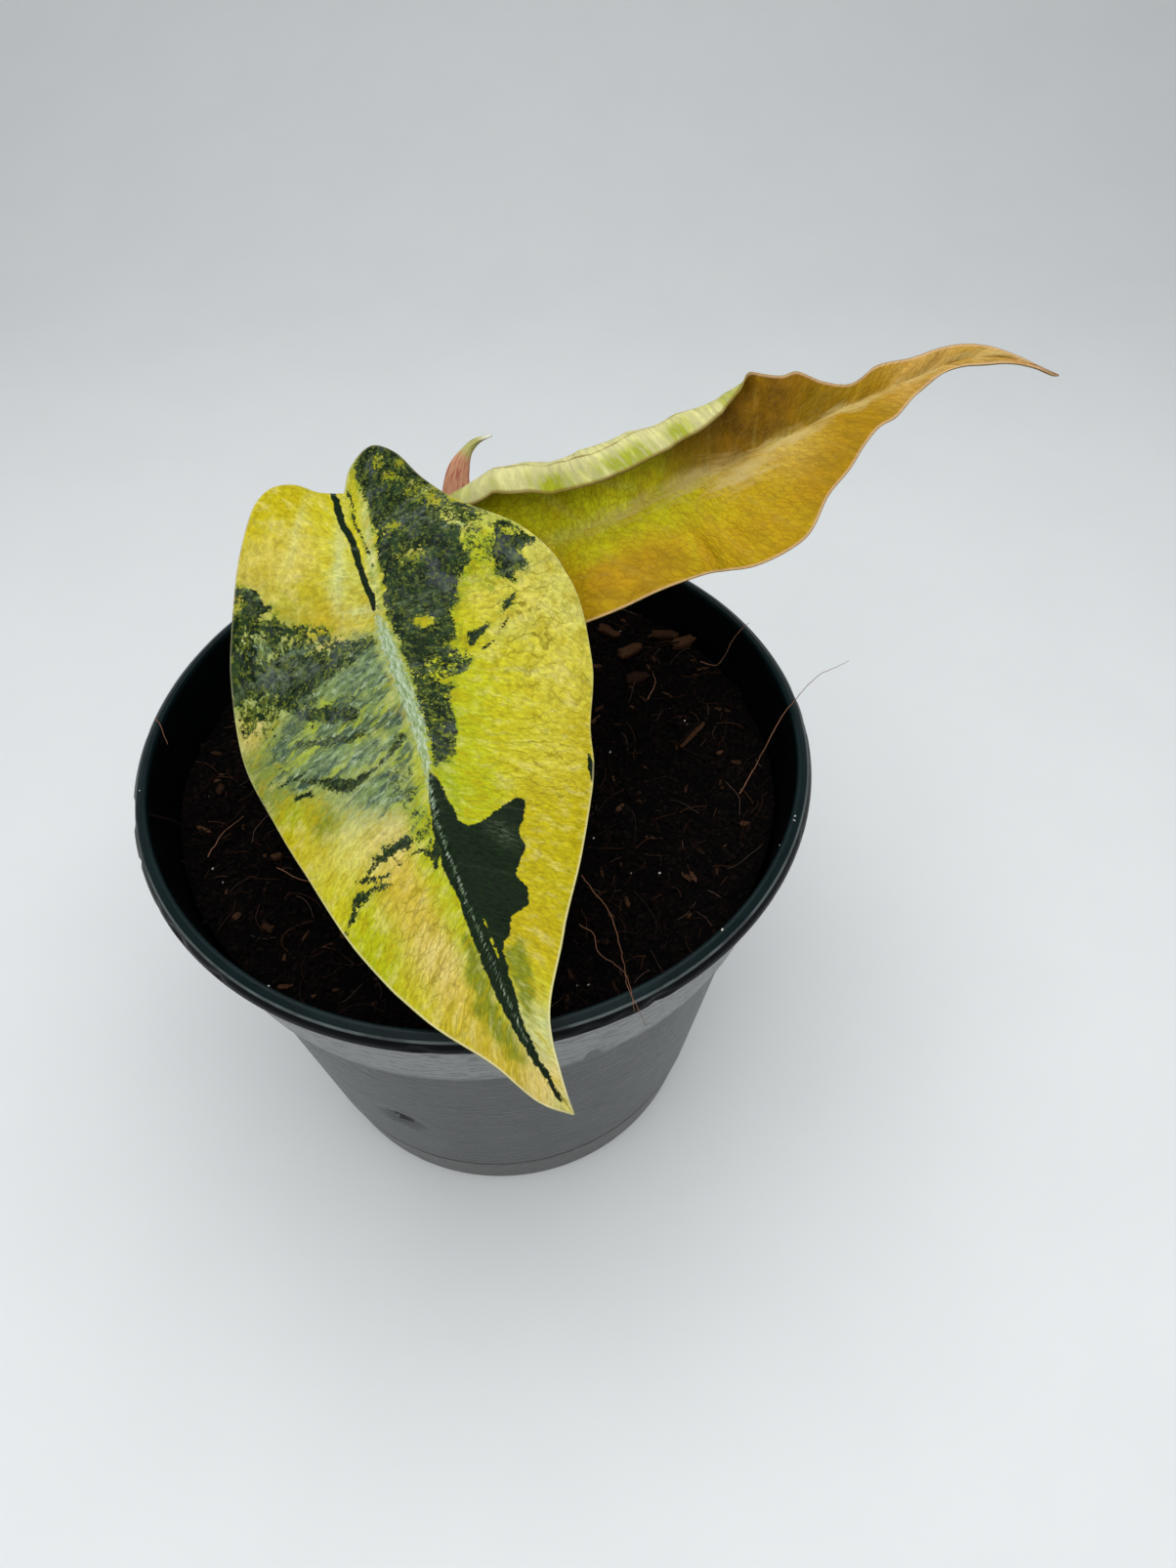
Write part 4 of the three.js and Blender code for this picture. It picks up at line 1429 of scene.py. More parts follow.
    strokes: tuple[Stroke | Patch, ...] = (
        Stroke((
            (-1.8, -23.0, 0.9), (-1.6, -20, 1.0), (-1.35, -17.1, 1.0), (-0.75, -13.2, 1.1),
            (-0.45, -10, 1.1), (-0.05, -5, 1.1), (0.15, -2.1, 1.1), (0, -0.3, 0.4),
        ), 0.25),
        Stroke((
            (0.3, -22.8, 0.5), (0.75, -20.1, 0.6), (0.45, -17.4, 0.4), (0.75, -15, 0.55),
            (1.05, -12, 0.35), (1.35, -9.6, 0.4), (1.65, -7.65, 0.3),
        ), 1.1),
        Patch((
            (-20.1, -10.5), (-17, -9.3), (-16.9, -8), (-16.2, -6.5), (-16.2, -5.3), (-18.5, -5.2),
            (-20, -5.8), (-21.5, -7.5), (-24, -9),
        ), 0.7),
        Patch((
            (-19, 1.5), (-16, 1.2), (-13, 2), (-11.5, 3.5), (-10.2, 6), (-11.5, 7.8), (-14, 8.3),
            (-16.5, 6.2), (-19, 4),
        ), 1.0),
        Stroke(((-20, 6.2, 2.2), (-17, 8.8, 2.2)), 1.6),
        Stroke(((-22, -3.2, 1.4), (-17.5, -2.6, 1.4)), 1.8),
        Stroke(((-16, -2.6, 1.2), (-12.5, -0.9, 1.2)), 1.2),
        Stroke(((4.9, 5.8, 4.0), (8.4, 6.6, 4.6)), 1.4), Stroke(((9.0, 6.0, 1.5), (10.2, 5.0, 1.5)), 1.2),
        Stroke(((-16.5, 10.6, 1.6), (-12.5, 12.4, 3.2), (-8.8, 14.4, 2.2)), 1.7),
        Stroke(((-18.5, 15, 1.0), (-14, 17, 1.8), (-11, 18.3, 1.5), (-8, 18, 0.8)), 1.7),
        Stroke(((-23.5, 21.8, 0.4), (-20.5, 21.4, 0.6), (-18.2, 21, 0.5)), 0.8),
        Stroke(((-19, 22.5, 0.5), (-16.5, 23.5, 0.9), (-14, 24.3, 0.8)), 1.0),
        Stroke(((-5, 22.7, 0.7), (-2.5, 20.5, 1.0)), 1.2),
        Stroke(((-27.8, 22.3, 1.2), (-26.8, 26.6, 1.4)), 1.0),
        Stroke(((-22.6, 7.7, 1.5), (-22.4, 8.0, 1.5)), 1.0),
        Stroke(((22.0, 3.1, 0.6), (20.4, 4.7, 1.2), (18.7, 6.2, 0.6)), 1.2),
        Stroke(((15.7, 7.7, 0.5), (13.2, 8.9, 1.8), (12.1, 10.1, 0.7)), 1.0),
        Stroke(((17.9, 8.8, 0.5), (19.4, 7.6, 0.8)), 0.8),
        Stroke(((13.3, 11.4, 0.35), (16, 10.5, 0.35)), 0.6),
        Stroke(((24.5, 30.3, 0.3), (24.1, 33, 1.4), (23.8, 35.8, 0.4)), 0.3),
        Stroke(((4.7, 15.9, 1.3), (6.8, 15.6, 1.0)), 1.4),
        Stroke(((2.6, 17.4, 1.6), (5.4, 17.2, 1.2)), 1.4),
        Stroke(((1.9, 18.5, 1.2), (2.5, 22.0, 2.2), (2.4, 25.0, 1.2)), 1.6),
        Patch((
            (-16.8, 24.5), (-15, 24.1), (-13.5, 24.0), (-11.5, 24.8), (-9.6, 25.5), (-10.8, 25.9),
            (-12.9, 26.8), (-14.4, 26.3),
        ), 1.1),
        Stroke(((-10.5, 25.2, 1.0), (-8.0, 24.2, 0.5), (-5, 22.8, 0.6)), 0.9),
        Stroke(((-20.8, 25, 0.7), (-18.6, 24.9, 0.9)), 0.9),
        Patch((
            (-9.9, 36.1), (-9, 36.2), (-7.8, 35.5), (-6, 35.6), (-5.1, 36.5), (-6, 37.3), (-7.2, 37.5),
            (-8.7, 37.2), (-9.3, 37.8), (-12, 38.2), (-13.2, 38.8), (-12.9, 38), (-11.7, 37.6), (-12, 37),
            (-10.5, 36.9),
        ), 1.1),
        Stroke(((-9, 38, 0.6), (-8.3, 39.1, 0.5)), 0.6),
        Patch((
            (-6.6, 38.5), (-4.5, 38.8), (-3.5, 40.3), (-3.3, 41.8), (-2.5, 40.3), (-1.0, 39.5),
            (-1.6, 36.5), (-2.6, 37.4), (-3.4, 38.6), (-4.6, 37.9),
        ), 1.0),
        Patch((
            (-15.3, 38.8), (-13.7, 39), (-10.8, 39.9), (-9.6, 39.7), (-10.8, 40.3), (-13.2, 40),
            (-15, 39.6),
        ), 0.9),
        Patch((
            (-15.6, 40.3), (-14.4, 41.2), (-12, 40.9), (-10.2, 41.4), (-10.5, 41.8), (-13.2, 41.5),
            (-15, 42.3), (-16.5, 42.9), (-17.1, 43.8), (-18.9, 44.2), (-18, 43.5),
        ), 1.0),
        Stroke(((-18.9, 44.6, 0.4), (-17.5, 44.0, 0.4)), 0.6),
        Stroke(((-19.8, 45.2, 0.5), (-19.4, 45.4, 0.5)), 0.6),
        Patch((
            (-0.25, 26.8), (0.95, 29.2), (1.4, 31.6), (2, 35.5), (3.2, 37.1), (5.9, 36.7), (8, 36),
            (10.1, 35.4), (11.3, 35), (12.4, 35.8), (11.9, 37.3), (11.3, 38.7), (10.1, 39.8), (10, 41.2),
            (10.3, 42.7), (9.5, 43.9), (8.3, 45), (7.6, 45.9), (7.3, 46.8), (8.2, 49), (7.3, 51.5),
            (5.9, 52), (4.1, 52.5), (3.4, 54.6), (1.9, 55.4), (1.45, 56.4), (1.3, 59.1), (1, 61.8),
            (0.7, 63.6), (0.5, 66), (0.2, 73), (-0.05, 79.5), (-0.5, 79.5), (-0.75, 73.5), (-1.0, 70),
            (-1.5, 66), (-1.8, 63), (-2.1, 57.9), (-2, 54), (-1.9, 48), (-2, 45), (-2.4, 41.5), (-2.5, 37),
            (-1.5, 32.8),
        ), 0.4),
    )
    islands: Ovals = (
        (6.5, 4, 1.4, 1.0), (24.4, -8.6, 0.9, 0.8, 0.6), (6.5, -28.5, 0.4, 0.8, 0.8),
        (9.7, -28, 0.5, 0.6, 0.8), (8, -23.8, 0.8, 0.6, 0.8), (6.1, -13.3, 0.9, 0.7, 0.6),
        (7.9, -7, 1.1, 0.9, 0.6), (-22, -8, 1.3, 0.8, 0.5), (-19, -1.2, 1.4, 0.7, 0.5),
        (0.4, 51.9, 0.18, 0.5), (0.5, 54.6, 0.16, 0.4), (0.4, 56.4, 0.16, 0.6),
    )
    # Silver zones; some of them are painted sheen on smooth glossy patches, not silver.
    silver_and_sheen: Ovals = (
        (-7, 8.5, 6, 2.4, 0.6), (-18, 15, 6, 3.5, 0.5), (-10.5, 21.6, 7.5, 2.4, 1.0, 8),
        (-9, 30, 6, 4, 0.75), (-16.0, 3.6, 5.0, 2.6, 0.5), (-5, 5.5, 3, 2.4, 0.6),
        (-18.6, -8.0, 2.6, 2.2, 0.42), (11.5, -14.0, 3.4, 2.0, 0.45), (14.5, -11.0, 2.2, 1.4, 0.35),
        (7.5, 1.2, 3.4, 1.4, 0.3), (7.6, 40.0, 1.5, 3.2, 0.28, -30), (-4.4, 27.6, 2.2, 2.0, 0.5),
        (24.2, -3.8, 1.8, 1.4, 0.4),
    )
    rib_silver: tuple[Triple, ...] = (
        (0.1, 0.8, 1.1), (0.1, 4, 2.0), (0.0, 10, 2.3), (0.0, 16, 2.3), (-0.1, 22, 2.0), (-0.3, 26, 1.3),
        (-0.9, 30, 0.5), (-1.1, 36, -0.1), (-0.9, 46, -0.15), (-0.6, 58, -0.2), (-0.3, 70, -0.4),
    )
    olive: tuple[Patch, ...] = (
        Patch((
            (-4.0, 55.5), (-2.4, 52), (-2, 60), (-1.4, 70), (-1.8, 73), (-3.4, 70.6), (-4.4, 67.6),
            (-4.7, 63.2), (-4.6, 59.2),
        )),
        Patch((
            (1.9, 56.7), (4, 55.4), (5.2, 57), (4.9, 59.7), (3.7, 62.1), (2.8, 64.5), (2.2, 66.6),
            (1.6, 67.8), (1, 66), (1, 63),
        )),
    )
    net_zones: Ovals = (
        (20, 8, 14, 22, 0.6), (12, 40, 9, 22, 0.6), (-8, 52, 7, 18, 0.95), (-16, 42, 7, 10, 0.45),
        (-12, -14, 12, 12, 0.28),
    )
    arc_zones: Ovals = (
        (22, 6, 9, 20), (17, 30, 10, 14, 0.8),
    )

    def read(self, place: Lattice) -> dict[str, Array]:
        """What the finish reads from the mesh.

        Args:
            place: The vertices' places on the blade.

        Returns:
            For each attribute's name its values.
        """
        u, v = place.u.copy(), place.v.copy()
        for k, (size, amount) in enumerate(self.edge_wobble):
            u += amount * lattice_noise(place.u, place.v, size, 101 + 2 * k)
            v += amount * lattice_noise(place.u, place.v, size, 102 + 2 * k)
        dark, rag = self._laid(self.solid, u, v, np.full(u.shape, -3.0), np.full(u.shape, 0.5))
        for grain in (Grain(*row) for row in self.grains):
            share = grain.share(u, v)
            dark += (grain.level - dark) * share
            rag += (grain.rag - rag) * share
        dark, rag = self._laid(self.strokes, u, v, dark, rag)
        for island in (Oval(*row) for row in self.islands):
            cut = (island.radius(u, v) - 1.0) * min(island.reach_u, island.reach_v) * island.strength
            dark = np.minimum(dark, cut)
        ground = clouded(self.ground, self.accents, u, v)
        torn = 1.3 * layered_noise(place.u, place.v, 1.6, 3, 151)
        for patch in self.olive:
            share = 0.92 * smooth_step(-0.9, 0.7, patch.depth(u, v) + torn)[:, None]
            ground += (np.array(Hue.OLIVE.value) - ground) * share
        zones = {"silver_and_sheen": self.silver_and_sheen, "marble": self.marble, "net": self.net_zones, "arcs": self.arc_zones}
        return {
            "ground": ground,
            "dark": np.clip(dark, -3.0, 3.0),
            "rag": rag,
            "rib": smooth_step(-1.4, 1.3, Stroke(self.rib_silver).depth(place.u, place.v)),
            **{name: strongest(rows, u, v) for name, rows in zones.items()},
        }

    @staticmethod
    def _laid(
        marks: Sequence[Patch | Stroke], u: Array, v: Array, dark: Array, rag: Array
    ) -> tuple[Array, Array]:
        """Lays dark markings over what is there, each with its own torn edge.

        Args:
            marks: The markings.
            u: The places' first coordinate, in mm.
            v: Their second.
            dark: How far inside the dark each place lies, in mm.
            rag: How torn the nearest edge is.

        Returns:
            The last two as they are with the markings.
        """
        for mark in marks:
            depth = mark.depth(u, v)
            rag = np.where((depth > dark) & (depth > -1.2 * mark.rag), mark.rag, rag)
            dark = np.maximum(dark, depth)
        return dark, rag


@dataclass(frozen=True)
class BackPattern:
    """The young blade's bronze and olive clouding, with a painted glow of light through the blade on its
    greens that lie in shade.
    """

    ground: Tints = (
        (Hue.OLIVE_GOLD, ((4, -6, 4, 5), (9, 28, 3, 5, 0.8))),
        (Hue.OCHRE, ((12, -10, 5, 5, 0.8),)),
        (Hue.BRONZE, (
            (10, 1, 4, 5), (16, 3, 4, 6, 1.2), (13, 20, 4, 6), (15, 32, 4, 6, 1.2), (7, 36, 3, 5),
        )),
        # Painted glow: greens brightened where the blade lies in shade.
        (Hue.YOUNG_GREEN_WITH_PAINTED_GLOW, ((4.5, 7, 3, 5, 1.2), (5, 19, 3, 6, 1.4), (-6, 20, 3, 5))),
        (Hue.COPPER, ((11, 12, 4, 5), (8, 48, 4, 5, 1.2), (4, 58, 3, 5, 1.2), (-3, 61, 3, 5, 1.2))),
        (Hue.HONEY, ((4, 44, 3, 5),)),
        (Hue.TAN, ((2, 70, 3, 6, 1.2), (0, 82, 3, 6), (-2, 70, 3, 6))),
        (Hue.PINK_TAN, ((0, 94, 3, 5, 1.2),)),
        # Painted glow under the roll.
        (Hue.LIME_WITH_PAINTED_GLOW, ((-4, -2, 4, 6, 1.2), (-6, 9, 4, 7, 1.4), (-10, 16, 3, 6, 1.2))),
        (Hue.UMBER, ((-8, 28, 4, 5, 1.2), (-4, 53, 3, 5, 1.2))),
        (Hue.RUST, ((-9, 38, 5, 5, 1.4), (-8, 46, 4, 5, 1.3))),
    )
    accents: Tints = (
        (Hue.PALE_LIME, ((0.3, 4, 1.6, 9, 0.5),)),
        (Hue.HONEY, ((11, -2, 0.9, 8, 0.6, 62),)),
        (Hue.OLIVE_GOLD, ((10, 22, 0.8, 9, 0.7, 68),)),
        (Hue.PALE_LIME, ((-6, 2.5, 0.7, 6, 0.35, -50), (-6, 13, 0.6, 6, 0.3, -40))),
        (Hue.COPPER, ((12.5, 7, 1.2, 5, 0.6, 65),)),
        (Hue.CREAM, ((-1.3, 88.5, 0.8, 1.2, 0.8),)),
    )
    band: Ovals = (
        (0.4, 15, 1.9, 8, 0.75), (0.8, 27, 2.7, 9, 1.0, 4), (2.8, 35, 3.2, 7, 1.0, 7), (0.8, 44, 1.8, 9),
        (0.4, 56, 1.2, 9), (0.2, 68, 0.9, 9, 0.9), (-0.5, 84, 0.9, 10, 0.8),
    )

    def read(self, place: Lattice) -> dict[str, Array]:
        """What the finish reads from the mesh.

        Args:
            place: The vertices' places on the blade.

        Returns:
            For each attribute's name its values.
        """
        u = place.u + 0.5 * lattice_noise(place.u, place.v, 3.0, 201)
        v = place.v + 0.9 * lattice_noise(place.u, place.v, 4.0, 203)
        return {"ground": clouded(self.ground, self.accents, u, v), "band": strongest(self.band, u, v)}


# Finishes of the blades

def leaf_bump(shade: Shade, place: Socket, cells: Socket, strength: float) -> Socket:
    """The small pillows between the finest veins, and the grain on them, as a normal.

    Args:
        shade: The material.
        place: The place on the blade, in mm.
        cells: The distance to the nearest fine vein, in cells.
        strength: How high it all stands.

    Returns:
        The normal.
    """
    grain = shade.bump(shade.noise(place, 0.28, 3.0, 0.6), 0.035 * strength)
    return shade.bump(shade.ramp(cells, 0.0, 0.22), 0.06 * strength, Normal=grain)


@dataclass(frozen=True)
class VariegatedFinish:
    """The front blade's upper face: gold and lime ground, torn dark marbling with a painted blue-grey sheen,
    silver with painted sheen in places, and a fine net.
    """

    dark: Colour = (0.0045, 0.0155, 0.0025)
    dark_deep: Colour = (0.0010, 0.0045, 0.0012)
    dark_mid: Colour = (0.024, 0.050, 0.016)
    # Painted sheen: the blue-grey reflection that the glossy dark marbling shows.
    painted_sheen_blue_grey: Colour = (0.066, 0.081, 0.088)
    fleck: Colour = (0.17, 0.20, 0.022)
    halo: Colour = (0.13, 0.20, 0.006)
    teal: Colour = (0.022, 0.050, 0.036)
    sage: Colour = (0.13, 0.19, 0.055)
    # Silver, also used for the painted sheen in some silver zones.
    silver_and_sheen: Colour = (0.28, 0.36, 0.21)
    silver_white: Colour = (0.50, 0.57, 0.47)
    limey: Colour = (0.34, 0.40, 0.012)
    gold: Colour = (0.40, 0.31, 0.002)
    beige: Colour = (0.66, 0.58, 0.20)
    net: Colour = (0.155, 0.125, 0.003)
    rim: Colour = (0.64, 0.58, 0.34)
    lateral_period: float = 5.25

    def material(self) -> Material:
        """Builds the finish."""
        s = Shade("variegated_blade")
        place, veins = s.vector("place"), s.vector("veins")
        streaks = s.flowing(veins, 2.2, 0.8, 0.42)
        torn = s.noise(streaks, 1.5, 7.0, 0.74)
        chip = s.chips(s.warped(place, 0.7, 0.35), 0.40)
        specks = s.linear(chip, 0.34, torn)
        spread = s.linear(specks, 1.9, -1.27)
        edge = s.linear(s.value("rag"), spread, s.value("dark"))
        dark = s.ramp(edge, -0.10, 0.12)
        ragged = s.ramp(s.value("rag"), 0.55, 1.6)

        fine = s.noise(s.flowing(veins, 1.0, 0.3, 0.45), 0.5, 6.0, 0.7)
        net = s.net(s.flowing(veins, 1.4, 0.35, 0.42), 1.15)
        ground = self._ground(s, streaks, fine, net)
        near = s.times(s.ramp(edge, -1.5, 0.1), s.times(ragged, s.ramp(torn, 0.4, 0.6)))
        ground = s.mix(s.times(near, 0.75), ground, self.halo)
        ground = self._marbled(s, ground, veins, fine)
        colour = s.mix(dark, ground, self._dark(s, streaks, fine, chip, edge, ragged))
        colour = self._silvered(s, colour, place, veins)
        lower = s.ramp(s.value("station"), 225.0, 250.0, 0.2, 0.75)
        colour = s.mix(s.times(s.ramp(s.value("rim"), 0.10, 0.36, 1.0, 0.0), lower), colour, self.rim)
        rough = s.linear(fine, 0.3, 0.34)
        normal = leaf_bump(s, place, net, 0.6)
        return s.finish(Base_Color=colour, Roughness=rough, Normal=normal, Specular_IOR_Level=0.07)

    def _ground(self, s: Shade, streaks: Socket, fine: Socket, net: Socket) -> Socket:
        """The pale ground.

        Args:
            s: The material.
            streaks: Places drawn out along the side veins.
            fine: The finest noise.
            net: The distance to the nearest line of the net.

        Returns:
            The ground with its streaks, its clouding and the lines of the net.
        """
        cloud = s.noise(streaks, 1.9, 6.0, 0.68)
        ground = s.mix(s.ramp(cloud, 0.50, 0.66, 0.0, 0.42), s.vector("ground"), self.beige)
        ground = s.mix(s.ramp(cloud, 0.52, 0.36, 0.0, 0.6), ground, self.gold)
        ground = s.level(ground, s.linear(fine, 1.5, 0.12))
        line = s.ramp(net, 0.015, 0.085, 1.0, 0.0)
        broken = s.ramp(s.noise(streaks, 1.3, 3.0), 0.34, 0.56, 0.2, 1.0)
        drawn = s.times(s.times(line, broken), s.times(s.value("net"), 0.6))
        bend = s.linear(s.noise(s.vector("place"), 6.0, 3.0, 0.55), 8.0, s.value("station"))
        arc = s.ramp(s.math("PINGPONG", bend, 0.85), 0.04, 0.22, 1.0, 0.0)
        faint = s.ramp(s.noise(streaks, 2.2, 3.0), 0.36, 0.54, 0.0, 0.8)
        arcs = s.times(s.times(arc, faint), s.value("arcs"))
        return s.mix(s.math("MAXIMUM", drawn, arcs), ground, self.net)

    def _marbled(self, s: Shade, ground: Socket, veins: Socket, fine: Socket) -> Socket:
        """The field of dark, sage and silver streaks that follow the side veins.

        Args:
            s: The material.
            ground: What the field lies on.
            veins: The places in the veins' own frame.
            fine: The finest noise.

        Returns:
            The ground with the field.
        """
        flow = s.flowing(veins, 2.6, 1.0, 0.24)
        broad = s.noise(flow, 1.9, 6.0, 0.68)
        thin = s.noise(s.flowing(veins, 1.5, 0.5, 0.3), 0.75, 5.0, 0.7)
        tone = s.mix(s.ramp(broad, 0.42, 0.60), self.teal, self.sage)
        tone = s.mix(s.ramp(thin, 0.50, 0.66, 0.0, 0.85), tone, self.silver_and_sheen)
        tone = s.mix(s.ramp(s.noise(flow, 3.0, 4.0, 0.6), 0.52, 0.62, 0.0, 0.7), tone, self.limey)
        tone = s.level(tone, s.linear(fine, 1.5, 0.25))
        share = s.ramp(s.linear(broad, -1.1, s.math("ADD", s.value("marble"), 0.55)), 0.28, 0.62)
        return s.mix(s.times(share, 0.93), ground, tone)

    def _dark(
        self, s: Shade, streaks: Socket, fine: Socket, chip: Socket, edge: Socket, ragged: Socket
    ) -> Socket:
        """The dark green of the marbling.

        Args:
            s: The material.
            streaks: Places drawn out along the side veins.
            fine: The finest noise.
            chip: A tone for each small cell.
            edge: How deep in the dark each place is.
            ragged: How torn the dark's edge is.

        Returns:
            The green, clouded with a painted blue-grey sheen and flecked where its edge is torn.
        """
        deep = s.mix(s.ramp(fine, 0.36, 0.62), self.dark_deep, self.dark)
        mottle = s.times(s.ramp(s.noise(streaks, 1.2, 6.0, 0.72), 0.44, 0.62), ragged)
        deep = s.mix(s.times(mottle, 0.75), deep, self.dark_mid)
        # Painted sheen: a blue-grey reflection clouded over the dark where its edge is torn.
        cloud = s.times(s.ramp(s.noise(streaks, 3.4, 5.0, 0.65), 0.50, 0.68), ragged)
        deep = s.mix(s.times(cloud, 0.6), deep, self.painted_sheen_blue_grey)
        shallow = s.ramp(edge, 0.2, 3.2, 1.0, 0.5)
        fleck = s.times(s.ramp(chip, 0.45, 0.70), s.ramp(fine, 0.42, 0.58))
        fleck = s.times(fleck, s.times(ragged, shallow))
        return s.mix(s.times(fleck, 0.7), deep, self.fleck)

    def _silvered(self, s: Shade, colour: Socket, place: Socket, veins: Socket) -> Socket:
        """The silvery bloom along the midrib and in the marbling; part of the silver zones is painted sheen.

        Args:
            s: The material.
            colour: What the bloom lies on.
            place: The place on the blade, in mm.
            veins: The places in the veins' own frame.

        Returns:
            The colour with the bloom over it.
        """
        strand = s.noise(s.flowing(veins, 1.2, 0.3, 0.3), 0.42, 5.0, 0.7)
        # Partly painted sheen: the silver zones hold glossy patches as well as silver bloom.
        film = s.times(s.value("silver_and_sheen"), s.ramp(strand, 0.40, 0.68))
        tone = s.mix(s.ramp(strand, 0.55, 0.75), self.silver_and_sheen, self.silver_white)
        colour = s.mix(s.times(film, 0.62), colour, tone)
        along = s.noise(s.stretched(place, 1.0, 0.3), 0.5, 5.0, 0.7)
        rib_tone = s.mix(s.ramp(along, 0.36, 0.64), (0.105, 0.18, 0.065), (0.42, 0.51, 0.39))
        frayed = s.ramp(s.linear(s.math("SUBTRACT", strand, 0.5), 2.0, s.value("rib")), 0.34, 0.8)
        colour = s.mix(s.times(frayed, 0.84), colour, rib_tone)
        lateral = s.math("PINGPONG", s.value("station"), self.lateral_period)
        vein = s.times(s.ramp(lateral, 0.12, 0.5, 1.0, 0.0), s.ramp(strand, 0.42, 0.6))
        return s.mix(s.times(vein, s.ramp(s.value("station"), 210.0, 246.0, 0.16, 0.03)), colour, self.silver_and_sheen)


@dataclass(frozen=True)
class UndersideFinish:
    """A blade's underside: paler and duller than its upper face, with darker veins."""

    name: str
    tone: Colour
    vein: Colour
    share_of_ground: float = 0.6
    lateral_period: float = 5.25

    def material(self) -> Material:
        """Builds the finish."""
        s = Shade(self.name)
        place, veins = s.vector("place"), s.vector("veins")
        colour = s.mix(self.share_of_ground, self.tone, s.vector("ground"))
        cloud = s.noise(s.stretched(veins, 0.4), 2.2, 4.0, 0.6)
        colour = s.level(colour, s.linear(cloud, 0.7, 0.6))
        net = s.net(s.flowing(veins, 1.6, 0.5, 0.6), 1.4)
        line = s.ramp(net, 0.02, 0.09, 0.4, 0.0)
        lateral = s.math("PINGPONG", s.value("station"), self.lateral_period)
        colour = s.mix(line, colour, self.vein)
        colour = s.mix(s.ramp(lateral, 0.3, 0.9, 0.55, 0.0), colour, self.vein)
        normal = leaf_bump(s, place, net, 1.4)
        return s.finish(Base_Color=colour, Roughness=0.55, Normal=normal, Specular_IOR_Level=0.2)


@dataclass(frozen=True)
class BronzeFinish:
    """The back blade's upper face: satin bronze and olive, brushed along its side veins."""

    rim: Colour = (0.56, 0.36, 0.20)
    vein: Colour = (0.44, 0.33, 0.05)
    blush: Colour = (0.48, 0.37, 0.135)
    lateral_period: float = 4.0

    def material(self) -> Material:
        """Builds the finish."""
        s = Shade("bronze_blade")
        place, veins = s.vector("place"), s.vector("veins")
        brushed = s.noise(s.flowing(veins, 2.0, 0.6, 0.35), 0.9, 6.0, 0.66)
        cloud = s.noise(s.flowing(veins, 3.0, 1.0, 0.5), 3.0, 4.0, 0.6)
        ground = s.level(s.vector("ground"), s.linear(cloud, 0.9, 0.57))
        ground = s.level(ground, s.linear(brushed, 1.1, 0.47))
        warm = s.ramp(s.noise(place, 5.0, 3.0), 0.4, 0.65)
        ground = s.mix(s.times(warm, 0.25), ground, (0.40, 0.19, 0.002))
        net = s.net(s.flowing(veins, 1.5, 0.5, 0.6), 1.1)
        line = s.ramp(net, 0.01, 0.10, 0.34, 0.0)
        ground = s.mix(line, ground, (0.20, 0.10, 0.001))
        speck = s.ramp(s.noise(s.stretched(veins, 0.6), 0.5, 5.0, 0.72), 0.50, 0.66, 0.0, 0.4)
        ground = s.mix(speck, ground, (0.24, 0.125, 0.001))
        lateral = s.math("PINGPONG", s.value("station"), self.lateral_period)
        strand = s.ramp(s.noise(s.stretched(veins, 0.4), 1.2, 3.0), 0.35, 0.6)
        ground = s.mix(s.times(s.ramp(lateral, 0.1, 0.7, 0.14, 0.0), strand), ground, self.vein)
        streak = s.noise(s.flowing(place, 4.0, 1.0, 1.0, 0.14), 0.8, 5.0, 0.65)
        band = s.linear(s.math("SUBTRACT", streak, 0.5), 1.7, s.value("band"))
        ground = s.mix(s.ramp(band, 0.10, 1.30, 0.0, 0.92), ground, self.blush)
        edge_line = s.ramp(s.value("rim"), 0.12, 0.5, 0.75, 0.0)
        colour = s.mix(edge_line, ground, self.rim)
        normal = leaf_bump(s, place, net, 0.9)
        rough = s.linear(brushed, 0.25, 0.36)
        return s.finish(Base_Color=colour, Roughness=rough, Normal=normal, Specular_IOR_Level=0.07)


@dataclass(frozen=True)
class SheathUndersideFinish:
    """The back blade's underside, whose rolled margin shows cream and green with fine cross lines, and a
    painted contact shadow along the margin.
    """

    cream: Colour = (0.60, 0.57, 0.25)
    green: Colour = (0.30, 0.33, 0.005)
    # Also the painted contact shadow along the rolled margin.
    line: Colour = (0.20, 0.13, 0.015)

    def material(self) -> Material:
        """Builds the finish."""
        s = Shade("bronze_blade_underside")
        place, veins = s.vector("place"), s.vector("veins")
        rim = s.value("rim")
        cross = s.noise(s.flowing(veins, 1.5, 0.35, 0.14), 0.7, 5.0, 0.66)
        blotch = s.noise(s.stretched(veins, 0.3), 4.0, 3.0)
        greened = s.times(s.ramp(cross, 0.30, 0.52), s.ramp(blotch, 0.40, 0.58, 0.15, 1.0))
        greened = s.times(greened, s.ramp(rim, 2.2, 4.6, 1.0, 0.15))
        strip = s.mix(greened, self.cream, self.green)
        strip = s.level(strip, s.linear(cross, 1.5, 0.14))
        wave = s.linear(s.noise(veins, 6.0, 2.0), 2.4, rim)
        broken = s.ramp(s.noise(veins, 5.0, 4.0, 0.65), 0.36, 0.56, 0.1, 1.0)
        gap = s.math("ABSOLUTE", s.math("SUBTRACT", wave, 6.3))
        drawn = s.times(s.ramp(gap, 0.06, 0.26, 0.85, 0.0), broken)
        strip = s.mix(drawn, strip, self.line)
        inner = s.level(s.vector("ground"), s.linear(cross, 0.7, 0.75))
        colour = s.mix(s.ramp(rim, 9.0, 13.0), strip, inner)
        # Painted contact shadow: a dark line along the margin where the roll lies on the blade.
        colour = s.mix(s.ramp(rim, 0.3, 0.8, 0.85, 0.0), colour, self.line)
        normal = s.bump(cross, 0.12, Normal=s.bump(s.noise(place, 0.3), 0.03))
        return s.finish(Base_Color=colour, Roughness=0.5, Normal=normal, Specular_IOR_Level=0.25)


# Finishes of the pot, the mix and the stalks

